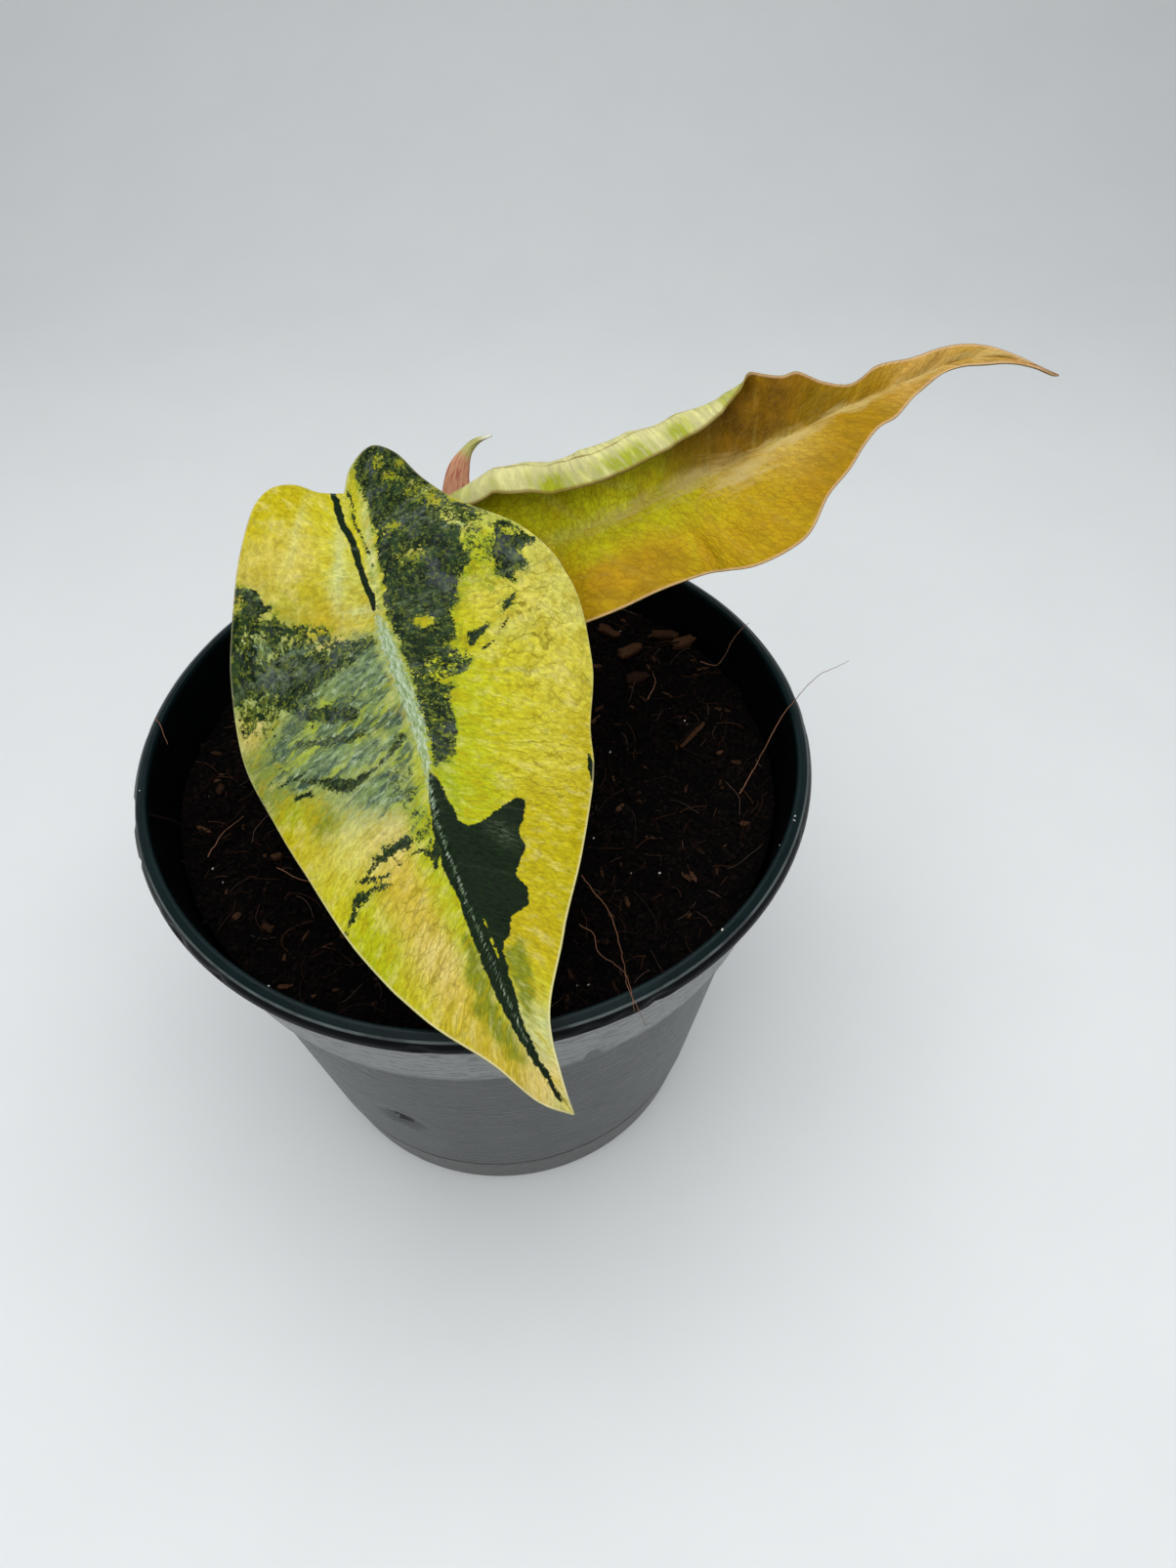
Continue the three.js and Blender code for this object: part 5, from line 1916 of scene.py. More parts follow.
@dataclass(frozen=True)
class PotFinish:
    """Black plastic, scuffed, rippled and satin on the pot's wall, with painted light on its collar and
    painted shade in its foot ring's groove and its dents.
    """

    wall: Colour = (0.012, 0.017, 0.018)
    scuff: Colour = (0.030, 0.036, 0.036)
    # Pale scuffing and lint; on the collar it is also painted light that lifts the shade under the lip.
    pale_scuff_lint_and_painted_light: Colour = (0.265, 0.282, 0.280)
    foot: Colour = (0.046, 0.045, 0.043)
    # Dark scratches on the collar, and painted shade in the foot ring's groove and in the dents.
    scratch_and_painted_shade: Colour = (0.006, 0.008, 0.009)
    ring_height: float = 13.3

    def material(self) -> Material:
        """Builds the finish."""
        s = Shade("pot_plastic")
        place = s.place()
        ripple = s.noise(s.flowing(place, 7.0, 1.2, 0.30, 0.30, 1.5), 1.3, 5.0, 0.65)
        dash = s.noise(s.flowing(place, 4.0, 0.6, 0.42, 0.42, 2.2), 1.3, 4.0, 0.6)
        cloud = s.noise(place, 9.0, 5.0, 0.66)
        height = s.height(place)
        wall = s.mix(s.ramp(cloud, 0.38, 0.66), self.wall, self.scuff)
        collar = s.value("collar_band")
        # The collar painted lighter: partly its pale scuffing, partly painted light against the shade under
        # the lip.
        wall = s.mix(s.times(collar, 0.85), wall, self.pale_scuff_lint_and_painted_light)
        below = s.ramp(height, self.ring_height - 0.4, self.ring_height, 0.85, 0.0)
        wall = s.level(s.mix(below, wall, self.foot), s.linear(ripple, 1.1, 0.45))
        dashes = s.times(s.ramp(dash, 0.54, 0.64), s.ramp(collar, 0, 1, 0.30, 0.7))
        # Painted shade: a dark line in the groove at the foot ring and dark in the dents, laid with the
        # collar's scratches.
        gap = s.math("ABSOLUTE", s.math("SUBTRACT", height, self.ring_height))
        marks = s.math("MAXIMUM", dashes, s.ramp(gap, 0.6, 0.95, 0.95, 0.0))
        marks = s.math("MAXIMUM", marks, s.ramp(s.value("dent_painted_shade"), 0.1, 0.8, 0.0, 0.6))
        wall = s.mix(marks, wall, self.scratch_and_painted_shade)
        lint = s.ramp(s.noise(place, 0.5, 2.0), 0.66, 0.72, 0.0, 0.5)
        wall = s.mix(lint, wall, self.pale_scuff_lint_and_painted_light)
        rough = s.linear(ripple, 0.32, 0.17)
        relief = s.times(s.linear(dash, -0.8, ripple), s.ramp(collar, 0, 1, 0.6, 1.0))
        normal = s.bump(relief, 0.85, Normal=s.bump(s.noise(place, 0.7, 3.0), 0.03))
        return s.finish(Base_Color=wall, Roughness=rough, Normal=normal, Specular_IOR_Level=0.8)


@dataclass(frozen=True)
class LipFinish:
    """The same plastic where it stayed smooth: black inside the pot and on the lip's side, with a painted
    dark teal reflection on the lip's top and a painted highlight line along its outer bend.
    """

    # Painted reflection: the lip's dark teal is the bluish sky mirrored in its top.
    lip: Colour = (0.0026, 0.0088, 0.0098)
    black: Colour = (0.0006, 0.0010, 0.0014)
    # Painted highlight: the pale line along the lip's outer bend.
    edge: Colour = (0.11, 0.13, 0.13)
    lip_foot: float = 97.0

    def material(self) -> Material:
        """Builds the finish."""
        s = Shade("lip_plastic")
        place = s.place()
        # Painted reflection: black below the lip's top, teal on it.
        shade = s.ramp(s.height(place), self.lip_foot - 0.1, self.lip_foot + 0.4)
        streak = s.noise(s.stretched(place, 0.25, 0.25), 2.0, 4.0, 0.6)
        colour = s.level(s.mix(shade, self.black, self.lip), s.linear(streak, 1.4, 0.3))
        # Painted highlight line along the lip's outer bend.
        line = s.times(s.ramp(s.value("lip_painted_highlight"), 0.85, 1.0), s.ramp(streak, 0.30, 0.55, 0.3, 1.0))
        colour = s.mix(s.times(line, 0.7), colour, self.edge)
        normal = s.bump(s.noise(place, 0.9, 3.0), 0.05)
        rough = s.linear(streak, 0.25, 0.22)
        return s.finish(Base_Color=colour, Roughness=rough, Normal=normal, Specular_IOR_Level=0.12)


@dataclass(frozen=True)
class MixFinish:
    """Damp dark coir: nearly black, with warmer crumbs and threads in it."""

    dark: Colour = (0.0012, 0.0009, 0.0009)
    warm: Colour = (0.0095, 0.0045, 0.0030)

    def material(self) -> Material:
        """Builds the finish."""
        s = Shade("coir_mix")
        place = s.place()
        grit = s.noise(place, 0.8, 6.0, 0.7)
        patch = s.noise(place, 5.0, 3.0, 0.6)
        share = s.times(s.ramp(grit, 0.45, 0.68), s.ramp(patch, 0.35, 0.65, 0.25, 1.0))
        colour = s.mix(share, self.dark, self.warm)
        return s.finish(Base_Color=colour, Roughness=0.9, Normal=s.bump(grit, 0.8), Specular_IOR_Level=0.04)


@dataclass(frozen=True)
class BitFinish:
    """Strewn bits that share two tones, dealt out by each bit's own tint."""

    name: str
    low: Colour
    high: Colour
    rough: float = 0.85

    def material(self) -> Material:
        """Builds the finish."""
        s = Shade(self.name)
        place = s.place()
        tint = s.value("tint")
        colour = s.mix(s.ramp(tint, 0.1, 1.0), self.low, self.high)
        grain = s.noise(place, 0.6, 5.0, 0.65)
        colour = s.level(colour, s.linear(grain, 1.4, 0.3))
        normal = s.bump(grain, 0.25)
        return s.finish(Base_Color=colour, Roughness=self.rough, Normal=normal, Specular_IOR_Level=0.05)


@dataclass(frozen=True)
class StalkFinish:
    """A petiole's skin: pale green streaked with pink, pinker at the foot."""

    green: Colour = (0.33, 0.37, 0.12)
    pink: Colour = (0.46, 0.26, 0.15)

    def material(self) -> Material:
        """Builds the finish."""
        s = Shade("leaf_stalk")
        streak = s.noise(s.stretched(s.vector("around"), 2.2, 2.2, 0.12), 1.0, 5.0, 0.62)
        foot = s.ramp(s.value("along"), 0.1, 0.75, 0.75, 0.15)
        share = s.times(foot, s.ramp(streak, 0.4, 0.6, 0.45, 1.0))
        colour = s.mix(share, self.green, self.pink)
        colour = s.level(colour, s.linear(streak, 0.8, 0.55))
        normal = s.bump(streak, 0.12, Normal=s.bump(s.noise(s.place(), 0.35), 0.02))
        return s.finish(Base_Color=colour, Roughness=0.42, Normal=normal, Specular_IOR_Level=0.35)


@dataclass(frozen=True)
class CormFinish:
    """The stem base's skin: fibrous brown, ringed with paler leaf scars."""

    bark: Colour = (0.085, 0.048, 0.026)
    scar: Colour = (0.27, 0.19, 0.11)

    def material(self) -> Material:
        """Builds the finish."""
        s = Shade("corm_skin")
        place = s.place()
        fibre = s.noise(s.flowing(place, 3.0, 0.6, 1.0, 1.0, 0.25), 0.9, 6.0, 0.68)
        ring = s.noise(s.stretched(place, 0.12, 0.12), 1.1, 3.0)
        colour = s.mix(s.ramp(ring, 0.5, 0.66), self.bark, self.scar)
        colour = s.level(colour, s.linear(fibre, 1.3, 0.35))
        normal = s.bump(fibre, 0.5)
        return s.finish(Base_Color=colour, Roughness=0.8, Normal=normal)


@dataclass(frozen=True)
class SheathFinish:
    """The papery sheath: rose pink with red threads, turning olive and then cream at its hooked tip."""

    pink: Colour = (0.50, 0.25, 0.14)
    thread: Colour = (0.33, 0.075, 0.05)
    olive: Colour = (0.42, 0.40, 0.13)
    tip: Colour = (0.63, 0.63, 0.50)

    def material(self) -> Material:
        """Builds the finish."""
        s = Shade("papery_sheath")
        fibres = s.vector("fibres")
        along = s.value("along")
        thread = s.noise(s.flowing(fibres, 2.0, 0.2, 1.0, 0.16), 0.6, 5.0, 0.65)
        pink = s.mix(s.ramp(thread, 0.45, 0.66), self.pink, self.thread)
        green = s.mix(s.ramp(thread, 0.45, 0.7), self.olive, (0.24, 0.23, 0.05))
        colour = s.mix(s.ramp(along, 0.875, 0.92), pink, green)
        colour = s.mix(s.ramp(along, 0.95, 0.99), colour, self.tip)
        normal = s.bump(thread, 0.15)
        return s.finish(Base_Color=colour, Roughness=0.55, Normal=normal, Specular_IOR_Level=0.3)


# The pot and what fills it

@dataclass
class NurseryPot:
    """The thin black pot: a turned wall with a rolled lip, a collar and a ring at its foot."""

    lip: tuple[Triple, ...] = (
        (57.6, 95.0, 0.4), (60.0, 95.1, 0.3), (59.8, 96.1, 0.3), (59.2, 97.05, 0.25), (57.9, 98.0, 0.25),
        (57.3, 97.9, 0.3), (56.4, 94.5, 1.0),
    )
    collar_foot: Pair = (54.6, 75.0)
    collar_rise: float = 19.2
    body_top: Pair = (52.6, 74.5)
    ring_top: Pair = (44.2, 13.5)
    groove: float = 0.9
    base: Pair = (41.8, 0.9)
    wall: float = 1.1
    floor: float = 1.4
    wall_step: float = 1.4
    segments: int = 288
    holes: int = 6
    hole_radius: float = 3.5
    hole_ring: float = 30.0
    dents: tuple[tuple[float, ...], ...] = ((-111.2, 36.8, 5.6, 4.2), (-68.3, 77.2, 1.5, 1.3))
    dent_depth: float = 1.15
    dented_radius: float = 47.3
    nick_depth: float = 0.6

    def profile(self) -> Array:
        """The wall's profile, from the middle of the underside round the lip to the middle of the floor."""
        base_radius, rounding = self.base
        ring_radius, ring_height = self.ring_top
        body_radius, body_height = self.body_top
        collar_radius, collar_height = self.collar_foot
        heights = np.arange(ring_height + self.wall_step, body_height - 0.6, self.wall_step)
        share = (heights - ring_height) / (body_height - ring_height)
        wall_rows = [(ring_radius + (body_radius - ring_radius) * t, z, 0.0) for t, z in zip(share, heights)]
        collar_rows = [
            (collar_radius + (self.lip[0][0] - collar_radius) * t, collar_height + self.collar_rise * t, 0.0)
            for t in np.linspace(0.1, 0.92, 12)
        ]
        corners = [
            (0.0, 0.0, 0.0),
            (base_radius - 6.0, 0.0, 0.0),
            (base_radius, 0.0, rounding),
            (ring_radius - 0.3, ring_height - 1.5, 0.1),
            (ring_radius - self.groove, ring_height - 1.2, 0.1),
            (ring_radius - self.groove, ring_height - 0.5, 0.1),
            (ring_radius, ring_height, 0.1),
            *wall_rows,
            (body_radius, body_height, 0.3),
            (collar_radius - 0.2, body_height + 0.05, 0.25),
            *collar_rows,
            *self.lip,
            (collar_radius - self.wall, collar_height + 0.5, 0.4),
            (body_radius - self.wall, body_height - 0.5, 0.3),
            (ring_radius - self.wall, ring_height, 0.4),
            (base_radius - self.wall, self.floor, 0.9),
            (base_radius - 8.0, self.floor, 0.0),
            (0.0, self.floor, 0.0),
        ]
        return rounded(corners)

    def _dent(self, angle: Array, height: Array) -> tuple[Array, Array]:
        """The dent in the wall.

        Args:
            angle: The places' headings, in degrees.
            height: The places' heights, in mm.

        Returns:
            The distance along the wall, in mm, and how far each place is pressed in, from 0 to 1.
        """
        arc = np.radians(angle) * self.dented_radius
        pressed = np.zeros(arc.shape)
        for heading, middle, length, tall in self.dents:
            along, up = arc - math.radians(heading) * self.dented_radius, height - middle
            radius = np.hypot(along / length, (up + 0.2 * along) / tall)
            pressed = np.maximum(pressed, 1.0 - smooth_step(0.0, 1.2, radius))
        return arc, pressed

    def _worn(self, rings: Array) -> Array:
        """Wears the wall's rings.

        Args:
            rings: For each row of the profile its ring of points, in mm.

        Returns:
            The rings, with the dent in the wall and the small nicks of the lip.
        """
        radius = np.hypot(rings[..., 0], rings[..., 1])
        angle = np.degrees(np.arctan2(rings[..., 1], rings[..., 0]))
        height = rings[..., 2]
        outer = np.zeros(radius.shape, bool)
        outer[: len(rings) * 2 // 3] = True
        arc, dent = self._dent(angle, height)
        push = -self.dent_depth * dent * outer
        rough = lattice_noise(arc * 1.25, height, 2.6, 71)
        rim = bell(height - 95.6, 0.8) * (radius > 58.5)
        push -= self.nick_depth * rim * smooth_step(0.45, 1.0, rough)
        factor = 1.0 + push / np.maximum(radius, 1.0)
        rings[..., :2] *= factor[..., None]
        return rings

    def build(self) -> Piece:
        """Turns the wall and cuts the drain holes."""
        profile = self.profile()
        rings = self._worn(turned_rings(profile[1:-1], self.segments))
        ends = [np.array([0.0, 0.0, height]) for height in profile[[0, -1], 1]]
        made = skinned("nursery_pot", rings, ends)
        cutters = bpy.data.collections.new("drain_hole_cutters")
        for i in range(self.holes):
            turn = 2 * math.pi * (i + 0.5) / self.holes
            centre = (self.hole_ring * math.cos(turn), self.hole_ring * math.sin(turn))
            rows = np.array([[self.hole_radius, -3.0], [self.hole_radius, 6.0]])
            poles = [np.array([*centre, -3.0]), np.array([*centre, 6.0])]
            cutters.objects.link(skinned(f"drain_hole_{i}", turned_rings(rows, 28, centre), poles))
        cut = made.modifiers.new("drain_holes", "BOOLEAN")
        cut.operand_type = "COLLECTION"
        cut.collection = cutters
        cut.solver = "EXACT"
        mesh = plain_mesh(made)
        made.modifiers.remove(cut)
        made.data = mesh
        for cutter in list(cutters.objects):
            bpy.data.objects.remove(cutter)
        bpy.data.collections.remove(cutters)
        made.data.set_sharp_from_angle(angle=math.radians(38))
        self._mark(made)
        return made

    def _mark(self, made: Piece) -> None:
        """Marks the pot's collar band, the painted shade of its dents, the painted highlight line of its lip
        and its dust, and gives the lip and the inside their own finish.

        Args:
            made: The pot's piece.
        """
        place = np.empty(3 * len(made.data.vertices), np.float32)
        made.data.vertices.foreach_get("co", place)
        x, y, z = place.reshape(-1, 3).T / MM
        angle = np.degrees(np.arctan2(y, x))
        cluster = 2.6 * bell(angle + 20.5, 3.6)
        strewn = 0.05 + 0.10 * (angle < 10) * (angle > -75)
        # The collar band, where pale scuffing and painted light lift the wall's colour.
        store(made, "collar_band", smooth_step(74.6, 75.2, z))
        # Painted shade in the dents.
        store(made, "dent_painted_shade", self._dent(angle, z)[1] * (np.hypot(x, y) > 46.0))
        # Painted highlight: the line along the lip's outer bend.
        store(made, "lip_painted_highlight", (np.abs(z - 97.05) < 0.2) & (np.hypot(x, y) > 58.8))
        store(made, "dusty", smooth_step(97.3, 97.7, z) * (cluster + strewn))
        middles = np.empty(3 * len(made.data.polygons), np.float32)
        made.data.polygons.foreach_get("center", middles)
        x, y, z = middles.reshape(-1, 3).T / MM
        corners = (self.ring_top, self.body_top, self.collar_foot, self.lip[0][:2])
        wall = [(0.0, self.base[0]), *[corner[::-1] for corner in corners]]
        inside = (np.hypot(x, y) < read_table(wall, z) - 0.7 * self.wall) & (z > 0.5 * self.floor)
        made.data.polygons.foreach_set("material_index", (inside | (z > 94.1)).astype(np.int32))


@dataclass
class PottingMix:
    """The dark coir mix: one body with a lumpy top and a plain hole for the stem base."""

    level: float = 86.5
    edge_radius: float = 54.3
    lump: float = 0.7
    lump_fade: float = 6.0
    hole_centre: Pair = (0.8, 8.0)
    hole: tuple[Pair, ...] = ((4.9, 68.6), (7.5, 75.0), (8.5, 82.0), (8.25, 85.0))
    hole_bottom: float = 67.7
    side: tuple[Pair, ...] = ((52.5, 76.6), (50.9, 74.5), (42.8, 13.5), (40.4, 2.6), (39.5, 1.7), (20.0, 1.7))
    sectors: int = 400
    rings: int = 112

    def height(self, x: Array, y: Array) -> Array:
        """The top's height.

        Args:
            x: First coordinate of the places, in mm.
            y: Second coordinate.

        Returns:
            The height at each place, in mm.
        """
        fade = 1.0 - smooth_step(self.edge_radius - self.lump_fade, self.edge_radius, np.hypot(x, y))
        broad = np.sin(0.13 * x + 1.1) * np.cos(0.17 * y - 0.4)
        fine = np.sin(0.41 * x - 0.3 * y) + np.cos(0.37 * y + 0.21 * x)
        clods = layered_noise(x, y, 7.0, 4, 3)
        crumbs = np.abs(layered_noise(x, y, 2.4, 3, 17))
        return self.level + self.lump * fade * (broad + 0.5 * fine) + 1.5 * clods + 1.1 * crumbs - 0.4

    def build(self) -> Piece:
        """Makes the body of the mix."""
        turn = np.linspace(0.0, 2 * math.pi, self.sectors, endpoint=False)
        heading = np.stack([np.cos(turn), np.sin(turn)], axis=-1)
        centre = np.array(self.hole_centre)
        forward = heading @ centre
        reach = -forward + np.sqrt(forward**2 - centre @ centre + self.edge_radius**2)
        share = np.linspace(0.0, 1.0, self.rings)[:, None]
        first = self.hole[-1][0]
        away = first + (reach[None] - first) * share
        flat = centre + away[..., None] * heading[None]
        top = np.concatenate([flat, self.height(flat[..., 0], flat[..., 1])[..., None]], axis=-1)
        hole = turned_rings(np.array(self.hole), self.sectors, self.hole_centre)
        rim = flat[-1] / self.edge_radius
        side = np.stack([np.c_[rim * radius, np.full(self.sectors, height)] for radius, height in self.side])
        rings = np.concatenate([hole, top, side])
        ends = [np.array([*self.hole_centre, self.hole_bottom]), np.array([0.0, 0.0, self.side[-1][1]])]
        made = skinned("coir_mix", rings, ends)
        place = np.vstack([rings.reshape(-1, 3), ends])
        radius = np.hypot(place[:, 0], place[:, 1])
        clear = np.hypot(place[:, 0] - centre[0], place[:, 1] - centre[1])
        inside = (clear > first + 0.3) & (radius < self.edge_radius - 0.4)
        open_top = (place[:, 2] > self.level - 3.5) & inside
        store(made, "open_top", open_top.astype(float))
        store(made, "loose", open_top * (radius < self.edge_radius - 2.0) * (clear > first + 2.5))
        return made


# Stalks

@dataclass(frozen=True)
class Corm:
    """The short stem base that the stalks rise from."""

    centre: Pair = (0.8, 8.0)
    profile: tuple[Triple, ...] = (
        (0.0, 68.0, 0.0), (4.6, 69.0, 1.0), (7.2, 75.0, 2.0), (8.2, 82.0, 2.0), (7.9, 86.0, 1.5),
        (6.4, 88.8, 1.2), (3.2, 90.2, 0.8), (0.0, 90.6, 0.0),
    )
    scar_spacing: float = 1.9

    def build(self) -> Piece:
        """Turns the stem base, with the rings that old leaves left on it."""
        profile = divided(rounded(self.profile), 0.45)
        rings = turned_rings(profile[1:-1], 96, self.centre)
        x, y = rings[..., 0] - self.centre[0], rings[..., 1] - self.centre[1]
        turn = np.arctan2(y, x)
        scar = np.cos(2 * math.pi * (rings[..., 2] + 0.5 * np.sin(turn + 1.0)) / self.scar_spacing)
        grow = 1.0 + (0.22 * scar + 0.3 * layered_noise(6.0 * turn, rings[..., 2], 1.6, 3, 23)) / 9.0
        rings[..., 0] = self.centre[0] + x * grow
        rings[..., 1] = self.centre[1] + y * grow
        ends = [np.array([*self.centre, self.profile[k][1]]) for k in (0, -1)]
        return skinned("stem_base", rings, ends)


@dataclass(frozen=True)
class Petiole:
    """A fleshy leaf stalk with a shallow channel, which meets the blade square on its underside."""

    name: str
    route: tuple[Triple, ...]
    foot_radius: float
    top_radius: float
    neck: float = 5.0
    channel: float = 0.22
    steps: int = 70
    sides: int = 28

    def build(self, blade: Blade) -> Piece:
        """Sweeps the stalk up to its blade.

        Args:
            blade: The blade that it carries.

        Returns:
            The stalk.
        """
        zero = np.zeros(1)
        joint, normal = blade.surface(zero, zero)[0], blade.normal(zero, zero)[0]
        seat = blade.lower_drop + 0.2
        route = [*self.route, joint - self.neck * normal, joint - seat * normal]
        centres, tangents = SmoothPath(route, 0.5).evenly(self.steps)
        t = np.linspace(0.0, 1.0, self.steps)[:, None]
        turn = np.linspace(0.0, 2 * math.pi, self.sides, endpoint=False)[None]
        radius = self.foot_radius + (self.top_radius - self.foot_radius) * t
        radius = radius * (1.0 - self.channel * bell(turn - math.pi / 2, 0.45))
        radius = radius * (1.0 + 0.35 * bell(1.0 - t, 0.05))
        sections = np.stack([radius * np.cos(turn), radius * np.sin(turn)], axis=-1)
        made = skinned(self.name, swept_rings(centres, tangents, sections), (centres[0], centres[-1]))
        along = np.concatenate([np.repeat(t[:, 0], self.sides), [0.0, 1.0]])
        store(made, "along", along)
        around = np.concatenate([np.tile(turn[0], self.steps), [0.0, 0.0]])
        store(made, "around", np.stack([np.cos(around), np.sin(around), along * 30.0], axis=-1))
        return made


@dataclass(frozen=True)
class Cataphyll:
    """The papery sheath leaf: a narrow folded blade that leans back and hooks over at its tip."""

    route: tuple[Triple, ...] = (
        (0.6, 11.4, 83.0), (-0.6, 22.0, 99.0), (-3.0, 36.0, 118.0), (-2.6, 40.8, 125.4), (0.2, 43.2, 129.4),
        (3.8, 43.6, 131.0),
    )
    widths: tuple[Pair, ...] = (
        (0.0, 5.2), (0.6, 5.8), (0.78, 5.4), (0.86, 3.8), (0.91, 2.0), (0.96, 1.1), (1.0, 0.5),
    )
    foot_depth: float = 2.2
    tip_depth: float = 0.5
    thickness: float = 0.3
    steps: int = 120
    sides: int = 44

    def build(self) -> Piece:
        """Sweeps the folded sheath."""
        centres, tangents = SmoothPath(self.route, 0.5).evenly(self.steps)
        t = np.linspace(0.0, 1.0, self.steps)[:, None]
        width = read_table(self.widths, t) / 2
        depth = (self.foot_depth + (self.tip_depth - self.foot_depth) * np.sqrt(t)) / 2
        half = self.sides // 2
        open_turn = np.linspace(-1.0, 1.0, half)[None]
        crinkle = 0.12 * layered_noise(open_turn * 6.0 + 0 * t, 50.0 * t + 0 * open_turn, 3.0, 2, 61)
        out_side = width * open_turn
        out_up = depth * (2.0 * open_turn**2 - 1.0) + crinkle
        in_side = out_side * 0.93
        in_up = out_up + np.minimum(self.thickness * (1.1 - 0.6 * t), 0.8 * depth)
        ring = np.concatenate(
            [np.stack([out_side, out_up], axis=-1), np.stack([in_side, in_up], axis=-1)[:, ::-1]], axis=1
        )
        made = skinned("papery_sheath", swept_rings(centres, tangents, ring), (centres[0], centres[-1]))
        along = np.concatenate([np.repeat(t[:, 0], 2 * half), [0.0, 1.0]])
        loop = np.concatenate([open_turn[0], open_turn[0][::-1]])
        across = np.concatenate([np.tile(loop, self.steps), [0, 0]])
        store(made, "along", along)
        store(made, "fibres", np.stack([across * 3.0, along * 70.0, 0 * along], axis=-1))
        return made


@dataclass(frozen=True)
class Chip:
    """One bark chip: its place on the mix, its length, width and depth in mm, and its turn in degrees."""

    place: Pair
    size: Triple
    turn: float
    tint: float = 0.5


@dataclass
class SurfaceLitter:
    """What lies loose on the mix and the lip: crumbs, bark, threads, root hairs and pale dust."""

    chips: tuple[Chip, ...] = (
        Chip((28.9, 32.7), (5.5, 2.6, 1.6), 38, 0.9), Chip((40.1, 34.7), (4.8, 2.4, 1.6), 20, 1.0),
        Chip((36.0, 37.0), (6.0, 2.0, 1.4), -12, 0.55), Chip((39.8, 9.0), (6.6, 1.3, 1.0), 47, 1.0),
        Chip((25.0, 39.5), (5.0, 1.8, 1.4), -40, 0.7), Chip((30.5, 25.5), (4.6, 2.2, 1.4), 8, 0.45),
        Chip((-34.9, -17.5), (2.2, 1.4, 1.1), 20, 0.75), Chip((-39.3, -30.2), (2.0, 1.2, 1.0), 60, 0.7),
        Chip((-33.5, -32.6), (2.4, 1.5, 1.0), -25, 0.5), Chip((-47.0, -3.0), (2.6, 1.2, 1.0), 75, 0.45),
    )
    threads: tuple[tuple[Triple, ...], ...] = (
        ((18.7, -23.1, 88.2), (20.8, -27.2, 89.0), (23.2, -31.2, 89.2), (24.5, -36.2, 89.4),
         (25.3, -42.5, 91.5), (25.5, -50.0, 98.3), (26.1, -52.6, 98.8), (27.0, -54.2, 98.2),
         (27.8, -55.3, 96.6), (28.3, -55.2, 94.2)),
        ((18.3, -33.2, 88.2), (20.7, -35.6, 88.8), (21.4, -39.0, 89.0), (24.0, -42.5, 90.8),
         (25.9, -50.2, 98.3), (26.5, -55.0, 98.5)),
        ((47.6, -6.0, 88.4), (50.2, -2.6, 91.5), (52.6, -0.6, 97.0), (54.4, 2.1, 98.8), (58.9, 8.5, 99.0),
         (63.6, 14.2, 98.4), (67.0, 16.8, 97.6), (69.6, 18.6, 97.4)),
        ((42.9, 27.9, 88.6), (46.0, 24.6, 91.0), (49.0, 25.8, 97.6), (51.7, 28.3, 98.6)),
        ((-46.6, -17.9, 88.3), (-44.4, -13.2, 89.0), (-41.8, -9.1, 88.4)),
        ((-57.9, 5.8, 98.4), (-56.4, 3.4, 98.9), (-55.0, 0.5, 97.2)),
        ((-34.0, -20.5, 88.2), (-29.5, -23.6, 89.0), (-24.0, -24.5, 88.6)),
        ((32.0, 18.0, 88.2), (33.6, 21.5, 89.2), (33.2, 25.5, 88.5)),
    )
    straws: tuple[tuple[Triple, ...], ...] = (
        ((37.6, 6.6, 88.6), (39.8, 9.0, 89.4), (42.0, 11.4, 88.9)),
        ((-55.0, -15.2, 96.9), (-52.0, -13.2, 92.0), (-50.5, -12.4, 88.8)),
        ((30.0, 28.5, 88.6), (34.0, 31.0, 89.4), (39.0, 33.5, 88.8)),
    )

    def _chips(self, mix: "PottingMix") -> Piece:
        """Lays the listed bark chips.

        Args:
            mix: The mix that they lie on.

        Returns:
            All the chips as one mesh.
        """
        body = bmesh.new()
        bmesh.ops.create_icosphere(body, subdivisions=3, radius=0.5)
        ball = np.array([tuple(vertex.co) for vertex in body.verts])
        corners = np.array([[vertex.index for vertex in face.verts] for face in body.faces])
        body.free()
        ball = np.sign(ball) * np.abs(ball) ** 0.55 * 0.5**0.45
        points, faces, tints = [], [], []
        for number, chip in enumerate(self.chips):
            cos, sin = math.cos(math.radians(chip.turn)), math.sin(math.radians(chip.turn))
            shape = ball * np.array(chip.size)
            across, along = shape[:, 0] * 1.3 + 9.0 * number, shape[:, 1] * 1.3 + shape[:, 2]
            rough = layered_noise(across, along, 1.6, 3, 300)
            shape = shape * (1.0 + 0.7 * rough[:, None])
            height = mix.height(np.array([chip.place[0]]), np.array([chip.place[1]]))[0] + 0.9
            x = chip.place[0] + shape[:, 0] * cos - shape[:, 1] * sin
            y = chip.place[1] + shape[:, 0] * sin + shape[:, 1] * cos
            faces.append(corners + number * len(ball))
            points.append(np.stack([x, y, height + shape[:, 2] + 0.12 * shape[:, 0]], axis=-1))
            tints.append(np.full(len(ball), chip.tint))
        made = add_mesh("bark_chips", np.vstack(points), [np.vstack(faces)])
        store(made, "tint", np.concatenate(tints))
        return made

